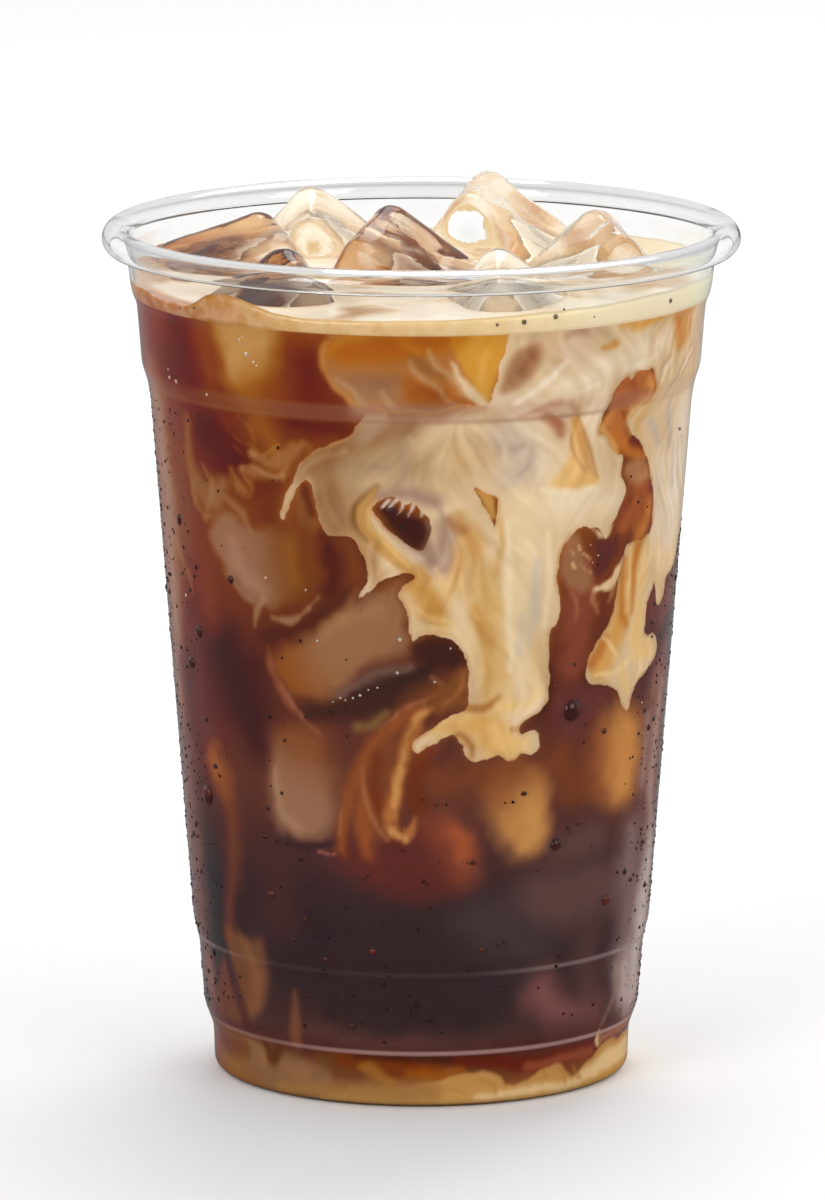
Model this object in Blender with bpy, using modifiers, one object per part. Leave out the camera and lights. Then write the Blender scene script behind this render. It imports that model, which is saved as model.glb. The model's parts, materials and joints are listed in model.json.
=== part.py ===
"""Iced cold brew coffee with a cream swirl, in its clear takeaway cup.

Everything is in metres with +Z up, and the origin is at the middle of the foot that the cup
stands on. The cup is one thin moulded wall with a rolled lip. The coffee is a solid that fills
it up to the cream layer, and the ice cubes float through both, in pockets of their own shape.
"""

import math
import random

import bmesh
import bpy
from mathutils import Euler, Matrix, Vector

MM = 0.001

# The cup's driving sizes
WALL = 0.55 * MM
LIP_CENTRE_RADIUS = 46.85 * MM
LIP_CENTRE_HEIGHT = 129.85 * MM
LIP_ROLL_RADIUS = 1.6 * MM
LIP_ROLL_END = math.radians(-50)
LIP_ARC_POINTS = 8
FOOT_CORNER = 1.6 * MM
FOOT_OUTER_RADIUS = 32.1 * MM
FOOT_RING_WIDTH = 5.2 * MM
FOOT_HOLLOW_DEPTH = 2.0 * MM
FOOT_ARC_POINTS = 3
CUP_STEPS = 48
AXIS_MERGE = 0.01 * MM

# The moulded steps of the side wall, as outer radius and height, from the lip down to the foot
SIDE_STEPS = [
    (45.03, 126.4),
    (44.74, 123.3),
    (44.36, 121.5),
    (43.76, 120.2),
    (43.54, 118.1),
    (42.96, 110.6),
    (42.05, 107.8),
    (41.60, 105.0),
    (35.32, 23.7),
    (34.40, 19.9),
    (33.66, 10.3),
    (32.28, 6.5),
]

# The drink
GAP = 0.3 * MM
CREAM_BOTTOM = 121.5 * MM
CREAM_TOP = 123.5 * MM

# The ice: middle, size and turn of each cube, in millimetres and degrees
ICE_CORNER = 4.2 * MM
ICE_CORNER_SEGMENTS = 5
ICE_MELT = 0.5 * MM
ICE_CUBES = {
    "ice_cube_left": ((-28.6, 4.5, 120.6), (21, 17, 18), (12, -17, 12)),
    "ice_cube_back_left": ((-15.8, 25.2, 120.4), (19, 17, 19), (22, 36, 14)),
    "ice_cube_middle": ((-3.8, -1.5, 121.0), (20, 17, 19), (18, 32, -16)),
    "ice_cube_back_right": ((10.8, 23.6, 122.4), (21, 18, 20), (14, 38, -8)),
    "ice_cube_right": ((28.4, 3.4, 120.6), (17.5, 18, 19), (16, -42, 8)),
    "ice_cube_front_right": ((12.2, -24.5, 119.3), (18, 17, 18), (22, 36, 16)),
    "ice_cube_front_left": ((-20.8, -21.4, 119.0), (18, 17, 18), (20, -34, 10)),
}


def clear_scene():
    for obj in list(bpy.data.objects):
        bpy.data.objects.remove(obj, do_unlink=True)


def new_collection(name):
    collection = bpy.data.collections.new(name)
    bpy.context.scene.collection.children.link(collection)
    return collection


def material(name, colour, roughness, transmission=0.0, ior=1.45):
    finish = bpy.data.materials.new(name)
    finish.use_nodes = True
    shader = finish.node_tree.nodes["Principled BSDF"]
    shader.inputs["Base Color"].default_value = (*colour, 1.0)
    shader.inputs["Roughness"].default_value = roughness
    shader.inputs["Metallic"].default_value = 0.0
    shader.inputs["Transmission Weight"].default_value = transmission
    shader.inputs["IOR"].default_value = ior
    return finish


def add_object(name, mesh, collection, finish=None):
    obj = bpy.data.objects.new(name, mesh)
    collection.objects.link(obj)
    if finish:
        mesh.materials.append(finish)
    return obj


def arc(centre, radius, start, end, count):
    """Points on an arc in the profile plane, ends included."""
    angles = [start + (end - start) * i / (count - 1) for i in range(count)]
    return [(centre[0] + radius * math.cos(a), centre[1] + radius * math.sin(a)) for a in angles]


def cup_outline():
    """The wall's outer face as radius and height, from the lip's free edge down to the axis."""
    lip = arc((LIP_CENTRE_RADIUS, LIP_CENTRE_HEIGHT), LIP_ROLL_RADIUS, LIP_ROLL_END, math.pi, LIP_ARC_POINTS)
    side = [(radius * MM, height * MM) for radius, height in SIDE_STEPS]
    corner_centre = (FOOT_OUTER_RADIUS - FOOT_CORNER, FOOT_CORNER)
    corner = arc(corner_centre, FOOT_CORNER, 0.0, -math.pi / 2, FOOT_ARC_POINTS)
    ring_inner = FOOT_OUTER_RADIUS - FOOT_CORNER - FOOT_RING_WIDTH
    foot = [(ring_inner, 0.0), (ring_inner - FOOT_HOLLOW_DEPTH, FOOT_HOLLOW_DEPTH), (0.0, FOOT_HOLLOW_DEPTH)]
    return lip + side + corner + foot


def moved_inward(outline, distance):
    """The outline shifted by a distance towards the inside of the cup, with mitred corners."""
    shifted = []
    for i, point in enumerate(outline):
        here = Vector(point)
        directions = []
        if i > 0:
            directions.append((here - Vector(outline[i - 1])).normalized())
        if i < len(outline) - 1:
            directions.append((Vector(outline[i + 1]) - here).normalized())
        normals = [Vector((d.y, -d.x)) for d in directions]
        mitre = sum(normals, Vector((0.0, 0.0))).normalized()
        reach = distance / mitre.dot(normals[0])
        moved = here + mitre * reach
        shifted.append((max(moved.x, 0.0), moved.y))
    shifted[-1] = (0.0, shifted[-1][1])
    return shifted


def radius_at(outline, height):
    """The outline's radius where it crosses a height, on the side wall."""
    for (r1, z1), (r2, z2) in zip(outline, outline[1:]):
        if z1 >= height > z2:
            return r1 + (r2 - r1) * (z1 - height) / (z1 - z2)
    raise ValueError("the outline doesn't reach that height")


def filling_profile(low, high):
    """The profile of what fills the cup between two heights, a gap inside its wall, top to bottom."""
    inside = moved_inward(cup_outline(), WALL + GAP)[LIP_ARC_POINTS:]
    top = [(0.0, high), (radius_at(inside, high), high)]
    middle = [point for point in inside if low < point[1] < high]
    if middle[-1][0] == 0.0:
        return top + middle
    return top + middle + [(radius_at(inside, low), low), (0.0, low)]


def turned_object(name, profile, collection, finish):
    """A profile at +X turned once round Z, by a Screw modifier."""
    bm = bmesh.new()
    points = [bm.verts.new((radius, 0.0, height)) for radius, height in profile]
    for first, second in zip(points, points[1:]):
        bm.edges.new((first, second))
    mesh = bpy.data.meshes.new(name)
    bm.to_mesh(mesh)
    bm.free()
    obj = add_object(name, mesh, collection, finish)
    screw = obj.modifiers.new("Turn", "SCREW")
    screw.steps = CUP_STEPS
    screw.render_steps = CUP_STEPS
    screw.use_merge_vertices = True
    screw.merge_threshold = AXIS_MERGE
    screw.use_smooth_shade = True
    return obj


def make_cup(collection):
    finish = material("clear_plastic", (0.94, 0.95, 0.95), 0.06, transmission=1.0, ior=1.46)
    cup = turned_object("cup", cup_outline(), collection, finish)
    wall = cup.modifiers.new("Wall", "SOLIDIFY")
    wall.thickness = WALL
    wall.offset = -1.0
    wall.use_even_offset = True
    return cup


def make_coffee(collection):
    finish = material("creamed_coffee", (0.50, 0.24, 0.10), 0.12)
    return turned_object("coffee", filling_profile(0.0, CREAM_BOTTOM - GAP), collection, finish)


def make_cream_layer(collection):
    finish = material("cream", (0.86, 0.74, 0.55), 0.25)
    return turned_object("cream_layer", filling_profile(CREAM_BOTTOM, CREAM_TOP), collection, finish)


def melted_cube_mesh(name, size, growth):
    """A box with its corners moved a little, as melting does, and grown by a margin on each side."""
    bm = bmesh.new()
    bmesh.ops.create_cube(bm, size=1.0)
    wobble = random.Random(name)
    for vert in bm.verts:
        melt = Vector([wobble.uniform(-ICE_MELT, ICE_MELT) for _ in range(3)])
        half = Vector([side * MM / 2 for side in size])
        outward = Vector([2 * c for c in vert.co])
        vert.co = Vector([o * (h + growth) for o, h in zip(outward, half)]) + melt
    mesh = bpy.data.meshes.new(name)
    bm.to_mesh(mesh)
    bm.free()
    return mesh


def add_ice(name, collection, growth, finish=None):
    middle, size, turn = ICE_CUBES[name]
    mesh = melted_cube_mesh(name, size, growth)
    obj = add_object(name if growth == 0.0 else name + "_pocket", mesh, collection, finish)
    place = Matrix.Translation(Vector(middle) * MM)
    obj.matrix_world = place @ Euler([math.radians(a) for a in turn]).to_matrix().to_4x4()
    rounding = obj.modifiers.new("Melted edges", "BEVEL")
    rounding.width = ICE_CORNER + growth
    rounding.segments = ICE_CORNER_SEGMENTS
    rounding.limit_method = "NONE"
    for polygon in mesh.polygons:
        polygon.use_smooth = True
    return obj


def cut_pockets(obj, pockets):
    cut = obj.modifiers.new("Ice pockets", "BOOLEAN")
    cut.operation = "DIFFERENCE"
    cut.operand_type = "COLLECTION"
    cut.collection = pockets
    cut.solver = "EXACT"


def main():
    clear_scene()
    drink = new_collection("cold brew coffee")
    pockets = new_collection("cutters")
    make_cup(drink)
    coffee = make_coffee(drink)
    cream_layer = make_cream_layer(drink)
    ice = material("ice", (0.93, 0.90, 0.86), 0.05, transmission=1.0, ior=1.31)
    for name in ICE_CUBES:
        add_ice(name, drink, 0.0, ice)
        pocket = add_ice(name, pockets, GAP)
        pocket.hide_render = True
        pocket.display_type = "WIRE"
    pockets.hide_render = True
    for obj in (coffee, cream_layer):
        cut_pockets(obj, pockets)


main()
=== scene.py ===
# %% [markdown]
# # An iced cold brew coffee with a cream swirl, in a clear takeaway cup
#
# The solids of this drink were packed before: a thin moulded cup, the coffee, a cream layer and
# seven ice cubes. This script dresses them. It turns a finer cup, paints the swirl of cream on
# the side of the coffee, pours the cream layer round the ice, melts the ice cubes a little, and
# sets condensation on the wall.
#
# Every size is in millimetres in the text and in metres in Blender. The drink stands on z = 0,
# and the camera looks from -Y.

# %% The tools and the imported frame
import json
import math
import random

import bmesh
import bpy
import numpy as np
from mathutils import Euler, Matrix, Vector

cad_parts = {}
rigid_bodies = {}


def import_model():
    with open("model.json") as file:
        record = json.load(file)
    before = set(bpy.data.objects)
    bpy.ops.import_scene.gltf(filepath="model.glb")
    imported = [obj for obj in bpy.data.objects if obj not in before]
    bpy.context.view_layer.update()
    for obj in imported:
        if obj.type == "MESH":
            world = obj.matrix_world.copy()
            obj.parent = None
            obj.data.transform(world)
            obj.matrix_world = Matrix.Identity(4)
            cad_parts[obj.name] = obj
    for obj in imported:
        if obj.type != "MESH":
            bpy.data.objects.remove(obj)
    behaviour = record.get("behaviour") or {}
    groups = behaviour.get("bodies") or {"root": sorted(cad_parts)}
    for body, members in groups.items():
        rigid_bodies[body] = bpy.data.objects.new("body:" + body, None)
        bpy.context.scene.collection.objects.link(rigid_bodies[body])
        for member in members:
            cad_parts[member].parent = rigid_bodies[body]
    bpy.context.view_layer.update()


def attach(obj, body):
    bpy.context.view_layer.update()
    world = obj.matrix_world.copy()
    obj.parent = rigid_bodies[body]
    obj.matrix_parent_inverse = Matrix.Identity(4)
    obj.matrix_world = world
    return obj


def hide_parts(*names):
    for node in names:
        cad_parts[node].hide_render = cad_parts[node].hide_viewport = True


MM = 0.001
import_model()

# %% [markdown]
# ## The camera
#
# The rim of the photographed cup is a flat ellipse, and the wall tapers by a known amount. Both
# together give the height and the distance of the camera: it looks down by about eleven
# degrees, from 1.62 m away, through a long lens.

# %% The camera
CAMERA_PLACE = Vector((-0.00134, -1.620, 0.3848))
CAMERA_TARGET = Vector((-0.00134, 0.0, 0.0730))
LENS = 320.6
CAMERA_DROP = math.degrees(math.atan2(CAMERA_PLACE.z - CAMERA_TARGET.z, -CAMERA_PLACE.y))

camera_data = bpy.data.cameras.new("photo camera")
camera_data.lens = LENS
camera_data.sensor_width = 36
camera_data.clip_start = 0.1
camera_data.clip_end = 50
camera = bpy.data.objects.new("photo camera", camera_data)
camera.location = CAMERA_PLACE
camera.rotation_euler = (CAMERA_TARGET - CAMERA_PLACE).to_track_quat("-Z", "Y").to_euler()
scene = bpy.context.scene
scene.collection.objects.link(camera)
scene.camera = camera
scene.view_settings.view_transform = "Standard"
print("the camera looks down by", round(CAMERA_DROP, 1), "degrees")

# %% [markdown]
# ## Small tools
#
# Every material below is made of a few kinds of nodes: noise, ramps, mixes and dents. Each kind
# has a short function that adds the node, links it and gives back its output.

# %% Tools for objects and materials


def link_object(name, data):
    obj = bpy.data.objects.new(name, data)
    scene.collection.objects.link(obj)
    return obj


def new_material(name):
    """A material with its node tree and its main shader."""
    made = bpy.data.materials.new(name)
    made.use_nodes = True
    tree = made.node_tree
    return made, tree, tree.nodes["Principled BSDF"]


def add_node(tree, kind, values=None, **settings):
    """A node of that kind, with its settings and the fixed values of its inputs."""
    node = tree.nodes.new(kind)
    for name, value in settings.items():
        setattr(node, name, value)
    for name, value in (values or {}).items():
        node.inputs[name].default_value = value
    return node


def mesh_from(bm, name):
    """The finished mesh of a bmesh, which is freed."""
    mesh = bpy.data.meshes.new(name)
    bm.to_mesh(mesh)
    bm.free()
    return mesh


def place_of(tree):
    """Places on the object, in metres."""
    return add_node(tree, "ShaderNodeTexCoord").outputs["Object"]


def axes_of(tree, place):
    """The X, Y and Z of a place."""
    apart = add_node(tree, "ShaderNodeSeparateXYZ")
    tree.links.new(place, apart.inputs[0])
    return apart.outputs


def read_colour(tree, name):
    return add_node(tree, "ShaderNodeAttribute", attribute_name=name).outputs["Color"]


def mix_colours(tree, share, first, second):
    """First where the share is 0, second where it is 1."""
    mix = add_node(tree, "ShaderNodeMix", data_type="RGBA")
    for socket, value in ((mix.inputs[0], share), (mix.inputs[6], first), (mix.inputs[7], second)):
        if isinstance(value, (tuple, float)):
            socket.default_value = value
        else:
            tree.links.new(value, socket)
    return mix.outputs[2]


def ramp(tree, value, low, high, start=0.0, end=1.0, kind="SMOOTHSTEP"):
    """From start to end while the value goes from low to high."""
    limits = {"From Min": low, "From Max": high, "To Min": start, "To Max": end}
    span = add_node(tree, "ShaderNodeMapRange", limits, interpolation_type=kind)
    tree.links.new(value, span.inputs["Value"])
    return span.outputs["Result"]


def maths(tree, operation, first, second):
    node = add_node(tree, "ShaderNodeMath", operation=operation)
    for socket, value in zip(node.inputs, (first, second)):
        if isinstance(value, float):
            socket.default_value = value
        else:
            tree.links.new(value, socket)
    return node.outputs[0]


def noise_of(tree, place, scale, detail=2.0):
    grain = add_node(tree, "ShaderNodeTexNoise", {"Scale": scale, "Detail": detail})
    tree.links.new(place, grain.inputs["Vector"])
    return grain.outputs["Fac"]


def dent(tree, height, strength, distance):
    """Small dents in the main shader's surface."""
    bump = add_node(tree, "ShaderNodeBump", {"Strength": strength, "Distance": distance})
    tree.links.new(height, bump.inputs["Height"])
    tree.links.new(bump.outputs["Normal"], tree.nodes["Principled BSDF"].inputs["Normal"])


print("the tools are ready")

# %% [markdown]
# ## Floor and light
#
# The photograph has a white ground with only a soft dark edge round the foot. A large pale
# floor under a bright, even sky gives that. The sky is darker on the camera's side, so that the
# wall of the cup reflects little there and the dark coffee stays dark, and it is brightest at
# the sides and behind, where clear plastic shows its edges.

# %% Floor and light
FLOOR_SIDE = 12.0
FLOOR_COLOUR = (0.94, 0.94, 0.94)
CARD_COLOUR = (0.22, 0.22, 0.22)
CARD_HEIGHT = 0.0003
SKY_IN_FRONT = 0.22
SKY_BEHIND = 0.85


def matt_square(name, colour, roughness, height):
    """A large staged square with a plain matt finish."""
    bm = bmesh.new()
    place = Matrix.Translation((0, 0, height))
    bmesh.ops.create_grid(bm, x_segments=1, y_segments=1, size=FLOOR_SIDE / 2, matrix=place)
    mesh = mesh_from(bm, name)
    made, _, shader = new_material("matt " + name)
    shader.inputs["Base Color"].default_value = (*colour, 1.0)
    shader.inputs["Roughness"].default_value = roughness
    mesh.materials.append(made)
    square = link_object(name, mesh)
    return square


def make_reflection_card():
    """A grey card that only reflections see, as a studio keeps white off a shiny wall."""
    card = matt_square("reflection card", CARD_COLOUR, 1.0, CARD_HEIGHT)
    card.visible_camera = False
    card.visible_diffuse = False
    card.visible_transmission = False
    card.visible_shadow = False
    return card


def make_sky():
    """An even sky that is darker towards the camera's side."""
    world = bpy.data.worlds.new("studio")
    world.use_nodes = True
    tree = world.node_tree
    way = add_node(tree, "ShaderNodeTexCoord").outputs["Generated"]
    light = ramp(tree, axes_of(tree, way)["Y"], -0.9, 0.1, SKY_IN_FRONT, SKY_BEHIND, "LINEAR")
    tree.links.new(light, tree.nodes["Background"].inputs["Strength"])
    tree.nodes["Background"].inputs["Color"].default_value = (1.0, 1.0, 1.0, 1.0)
    scene.world = world


def add_lamp(name, place, target, size, watts):
    """A soft square lamp, aimed at a target."""
    lamp_data = bpy.data.lights.new(name, "AREA")
    lamp_data.shape = "SQUARE"
    lamp_data.size = size
    lamp_data.energy = watts
    lamp = link_object(name, lamp_data)
    lamp.location = place
    lamp.rotation_euler = (Vector(target) - Vector(place)).to_track_quat("-Z", "Y").to_euler()
    return lamp


floor = matt_square("floor", FLOOR_COLOUR, 0.9, 0.0)
card = make_reflection_card()
make_sky()
key = add_lamp("key lamp", (-1.2, -1.7, 0.8), (0, 0, 0.07), 1.0, 19)
fill = add_lamp("fill lamp", (1.4, -1.4, 0.7), (0, 0, 0.07), 1.2, 12)
back = add_lamp("back lamp", (0.2, 0.9, 1.5), (0, 0, 0.10), 0.9, 11)
print("stage:", floor.name, "and the lamps", [lamp.name for lamp in (key, fill, back)])

# %% [markdown]
# ## The cup
#
# The wall's outer face is one outline, from the free edge of the rolled lip down its moulded
# steps to the middle of the foot. The same sizes made the solid. Here the corners between the
# steps get small radii, because it is those curves that catch thin lines of light.

# %% The outline of the wall
WALL = 0.55
LIP_CENTRE = (46.85, 129.85)
LIP_RADIUS = 1.6
LIP_END = math.radians(-50)
FOOT_CORNER = 1.6
FOOT_RADIUS = 32.1
FOOT_RING = 5.2
FOOT_HOLLOW = 2.0
SIDE_STEPS = [
    (45.03, 126.4),
    (44.74, 123.3),
    (44.36, 121.5),
    (43.76, 120.2),
    (43.54, 118.1),
    (42.96, 110.6),
    (42.05, 107.8),
    (41.60, 105.0),
    (35.32, 23.7),
    (34.40, 19.9),
    (33.66, 10.3),
    (32.28, 6.5),
]
STEP_RADIUS = 0.8
AROUND = 208


def arc_points(centre, radius, start, end, count):
    angles = [start + (end - start) * i / (count - 1) for i in range(count)]
    return [(centre[0] + radius * math.cos(a), centre[1] + radius * math.sin(a)) for a in angles]


def with_round_corners(points, radius, steps=4):
    """The polyline with each inner corner replaced by a short curve."""
    out = [points[0]]
    for before, here, after in zip(points, points[1:], points[2:]):
        a, p, b = Vector(before), Vector(here), Vector(after)
        reach = min(radius, 0.4 * (a - p).length, 0.4 * (b - p).length)
        start = p + (a - p).normalized() * reach
        end = p + (b - p).normalized() * reach
        for i in range(steps + 1):
            t = i / steps
            spot = start * (1 - t) ** 2 + p * 2 * t * (1 - t) + end * t ** 2
            out.append((spot.x, spot.y))
    out.append(points[-1])
    return out


def moved_inward(outline, distance):
    """The outline shifted towards the inside of the cup, with mitred corners."""
    shifted = []
    for i, point in enumerate(outline):
        here = Vector(point)
        directions = []
        if i > 0:
            directions.append((here - Vector(outline[i - 1])).normalized())
        if i < len(outline) - 1:
            directions.append((Vector(outline[i + 1]) - here).normalized())
        normals = [Vector((d.y, -d.x)) for d in directions]
        mitre = sum(normals, Vector((0.0, 0.0))).normalized()
        moved = here + mitre * (distance / mitre.dot(normals[0]))
        shifted.append((max(moved.x, 0.0), moved.y))
    shifted[-1] = (0.0, shifted[-1][1])
    return shifted


def wall_outline():
    lip = arc_points(LIP_CENTRE, LIP_RADIUS, LIP_END, math.pi, 26)
    corner = arc_points((FOOT_RADIUS - FOOT_CORNER, FOOT_CORNER), FOOT_CORNER, 0.0, -math.pi / 2, 8)
    ring_inner = FOOT_RADIUS - FOOT_CORNER - FOOT_RING
    hollow = [(ring_inner, 0.0), (ring_inner - FOOT_HOLLOW, FOOT_HOLLOW), (0.0, FOOT_HOLLOW)]
    side = with_round_corners([lip[-1]] + SIDE_STEPS + [corner[0]], STEP_RADIUS)
    foot = with_round_corners([corner[-1]] + hollow, STEP_RADIUS)
    return lip + side[1:-1] + corner + foot[1:]


OUTER = wall_outline()
INNER = moved_inward(OUTER, WALL)
SIDE_Z = np.array([z for r, z in SIDE_STEPS] + [FOOT_CORNER])[::-1]
SIDE_R = np.array([r for r, z in SIDE_STEPS] + [FOOT_RADIUS])[::-1]
lip_width = round(2 * max(r for r, z in OUTER), 1)
print("the outline has", len(OUTER), "points, and the lip is", lip_width, "mm wide")

# %% [markdown]
# The section, outer face and inner face in one loop, is spun once round the axis.

# %% The cup's wall


def spun_mesh(name, section, steps):
    """A closed section in millimetres, spun once round Z. Points on the axis end in one vertex."""
    bm = bmesh.new()
    ring = [bm.verts.new((r * MM, 0.0, z * MM)) for r, z in section]
    edges = [bm.edges.new(pair) for pair in zip(ring, ring[1:])]
    if section[0][0] > 0.0 or section[-1][0] > 0.0:
        edges.append(bm.edges.new((ring[-1], ring[0])))
    bmesh.ops.spin(bm, geom=ring + edges, cent=(0, 0, 0), axis=(0, 0, 1), angle=2 * math.pi, steps=steps,
                   use_merge=True)
    bmesh.ops.remove_doubles(bm, verts=bm.verts, dist=0.001 * MM)
    bmesh.ops.recalc_face_normals(bm, faces=bm.faces)
    return mesh_from(bm, name)


def shade_smooth(mesh):
    mesh.polygons.foreach_set("use_smooth", [True] * len(mesh.polygons))


def triangles(mesh):
    return sum(len(p.vertices) - 2 for p in mesh.polygons)


def add_piece(name, mesh, replaced=()):
    """One visible piece of the object, riding on the root body."""
    shade_smooth(mesh)
    piece = link_object(name, mesh)
    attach(piece, "root")
    if replaced:
        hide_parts(*replaced)
    print(f"{name}: {triangles(mesh):,} triangles")
    return piece


cup = add_piece("clear_cup", spun_mesh("clear_cup", OUTER + INNER[::-1], AROUND), ["cup"])

# %% [markdown]
# Clear plastic bends light, and it has to let the lamps through to the drink. So a ray that only
# asks whether a lamp is in sight passes straight through, and every other ray is bent. Below the
# upper step the wall carries a film of mist, which makes it a little rough. Above it the wall
# is clean, with the faint waves of thin moulded plastic.

# %% The plastic
PLASTIC_IOR = 1.46
MIST_TOP = 108.0 * MM
DRINK_TOP = 124.0 * MM
LOW_GLOSS, HIGH_GLOSS = 0.06, 0.6
MISTY, CLEAN = 0.10, 0.015
WALL_TINT = (0.97, 0.975, 0.975, 1.0)
LIP_TINT = (0.93, 0.935, 0.935, 1.0)


def let_lamps_through(tree, surface, tint):
    """Shadow rays pass straight through the surface, coloured by the tint."""
    path = add_node(tree, "ShaderNodeLightPath")
    clear = add_node(tree, "ShaderNodeBsdfTransparent", {"Color": tint})
    mix = add_node(tree, "ShaderNodeMixShader")
    tree.links.new(path.outputs["Is Shadow Ray"], mix.inputs[0])
    tree.links.new(surface, mix.inputs[1])
    tree.links.new(clear.outputs[0], mix.inputs[2])
    tree.links.new(mix.outputs[0], tree.nodes["Material Output"].inputs["Surface"])


def clear_plastic():
    made, tree, shader = new_material("clear plastic")
    shader.inputs["IOR"].default_value = PLASTIC_IOR
    shader.inputs["Transmission Weight"].default_value = 1.0
    place = place_of(tree)
    height = axes_of(tree, place)["Z"]
    gloss = ramp(tree, height, DRINK_TOP - MM, DRINK_TOP + MM, LOW_GLOSS, HIGH_GLOSS, "LINEAR")
    mist = ramp(tree, height, MIST_TOP, MIST_TOP + 2 * MM, MISTY, CLEAN, "LINEAR")
    empty = ramp(tree, height, DRINK_TOP, DRINK_TOP + 2 * MM, kind="LINEAR")
    tree.links.new(mix_colours(tree, empty, WALL_TINT, LIP_TINT), shader.inputs["Base Color"])
    tree.links.new(gloss, shader.inputs["Specular IOR Level"])
    tree.links.new(mist, shader.inputs["Roughness"])
    dent(tree, noise_of(tree, place, 90.0, 1.0), 0.12, 0.0006)
    let_lamps_through(tree, shader.outputs[0], WALL_TINT)
    return made


cup.data.materials.append(clear_plastic())

# %% [markdown]
# ## Painting the swirl
#
# What shows through the wall is not one colour. There is dark coffee, light that comes through
# sunk ice, and cream that sinks in curls. All of it is painted on the side of the coffee, whose
# surface is unrolled into a sheet: u runs along the wall from the front, to the right, and z
# is the height, both in millimetres. The tools below give soft brushes and cut-out shapes on
# that sheet. The edges of the cream are kept as distances, so they stay sharp at any size.

# %% The brushes
ROUND = 238.76
SHEET_RADIUS = ROUND / (2 * math.pi)
SIDE_U = ROUND / 4


class Dice:
    """Seeded values on a lattice, with smooth steps between them."""

    def __init__(self, seed):
        self.table = np.random.default_rng(seed).uniform(-1, 1, 4096)

    def __call__(self, p):
        cell = np.floor(p).astype(np.int64)
        part = p - cell
        part = part * part * (3 - 2 * part)
        total = 0.0
        for corner in range(8):
            bits = [(corner >> k) & 1 for k in range(3)]
            weight = 1.0
            key = 0
            for k, prime in enumerate((73856093, 19349663, 83492791)):
                weight = weight * (part[..., k] if bits[k] else 1 - part[..., k])
                key = key ^ ((cell[..., k] + bits[k]) * prime)
            total = total + weight * self.table[key & 4095]
        return total


def cloud(p, size, seed, octaves=3):
    """Smooth noise of about -1 to 1, with details down to a fraction of its size."""
    total = 0.0
    for octave in range(octaves):
        total = total + 0.5 ** octave * Dice(seed + octave)(p * 2.1 ** octave / size)
    return total


def on_wall(u, z):
    """The place in space of a point of the sheet, for noise that closes round the cup."""
    turn = u / SHEET_RADIUS
    return np.stack([SHEET_RADIUS * np.sin(turn), -SHEET_RADIUS * np.cos(turn), z + 0 * u], axis=-1)


def folded_over(u):
    """The place on the front sheet that faces each place, with the back folded over at both sides."""
    return np.where(np.abs(u) > SIDE_U, np.sign(u) * (2 * SIDE_U - np.abs(u)), u)


def ease(value, low, high):
    t = np.clip((value - low) / (high - low), 0, 1)
    return t * t * (3 - 2 * t)


def soft_max(a, b, blend):
    h = np.clip(0.5 + 0.5 * (a - b) / blend, 0, 1)
    return b + (a - b) * h + blend * h * (1 - h)


def smooth_path(points, closed=False, per=4):
    """A Catmull-Rom curve through the points."""
    spots = [np.array(p, float) for p in points]
    if closed:
        spots = [spots[-1]] + spots + spots[:2]
    else:
        spots = [2 * spots[0] - spots[1]] + spots + [2 * spots[-1] - spots[-2]]
    out = []
    for a, b, c, d in zip(spots, spots[1:], spots[2:], spots[3:]):
        for s in np.arange(per) / per:
            out.append(0.5 * (2 * b + (c - a) * s + (2 * a - 5 * b + 4 * c - d) * s ** 2
                              + (3 * b - a - 3 * c + d) * s ** 3))
    out.append(out[0] if closed else spots[-2])
    return np.array(out)


FAR = -30.0


def nearby(u, z, path, reach):
    low = path[:, :2].min(0) - reach
    high = path[:, :2].max(0) + reach
    return (u > low[0]) & (u < high[0]) & (z > low[1]) & (z < high[1])


def stroke(u, z, points, reach=6.0):
    """How deep each place lies inside a brush stroke of (u, z, half width) points, in mm."""
    path = smooth_path(points if len(points) > 1 else 2 * points)
    near = nearby(u, z, path, path[:, 2].max() + reach)
    depth = np.full(u.shape, FAR)
    x, y = u[near], z[near]
    best = np.full(x.shape, FAR)
    for (ax, ay, aw), (bx, by, bw) in zip(path, path[1:]):
        dx, dy = bx - ax, by - ay
        t = np.clip(((x - ax) * dx + (y - ay) * dy) / (dx * dx + dy * dy + 1e-9), 0, 1)
        best = np.maximum(best, aw + t * (bw - aw) - np.hypot(x - ax - t * dx, y - ay - t * dy))
    depth[near] = best
    return depth


def cutout(u, z, points, reach=6.0):
    """How deep each place lies inside a closed shape, in mm, and negative outside it."""
    path = smooth_path(points, closed=True)
    near = nearby(u, z, path, reach)
    depth = np.full(u.shape, FAR)
    x, y = u[near], z[near]
    away = np.full(x.shape, -FAR)
    inside = np.zeros(x.shape, bool)
    for (ax, ay), (bx, by) in zip(path, path[1:]):
        dx, dy = bx - ax, by - ay
        t = np.clip(((x - ax) * dx + (y - ay) * dy) / (dx * dx + dy * dy + 1e-9), 0, 1)
        away = np.minimum(away, np.hypot(x - ax - t * dx, y - ay - t * dy))
        crosses = (ay > y) != (by > y)
        inside ^= crosses & (x < ax + (y - ay) * dx / (dy if dy else 1e-9))
    depth[near] = np.where(inside, away, -away)
    return depth


def shape_depth(u, z, shapes, blend=0.6):
    """The depth inside the union of strokes (three numbers a point) and cut-outs (two)."""
    depth = np.full(u.shape, FAR)
    for points in shapes:
        one = (stroke if len(points[0]) == 3 else cutout)(u, z, points)
        depth = soft_max(depth, one, blend)
    return depth


def linear(rgb):
    """A colour that was read off the screen, as light."""
    c = np.array(rgb, float) / 255
    return np.where(c <= 0.04045, c / 12.92, ((c + 0.055) / 1.055) ** 2.4)


def shader_colour(rgb):
    """A colour that was read off the screen, for a shader's socket."""
    return tuple(linear(rgb)) + (1.0,)


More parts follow.
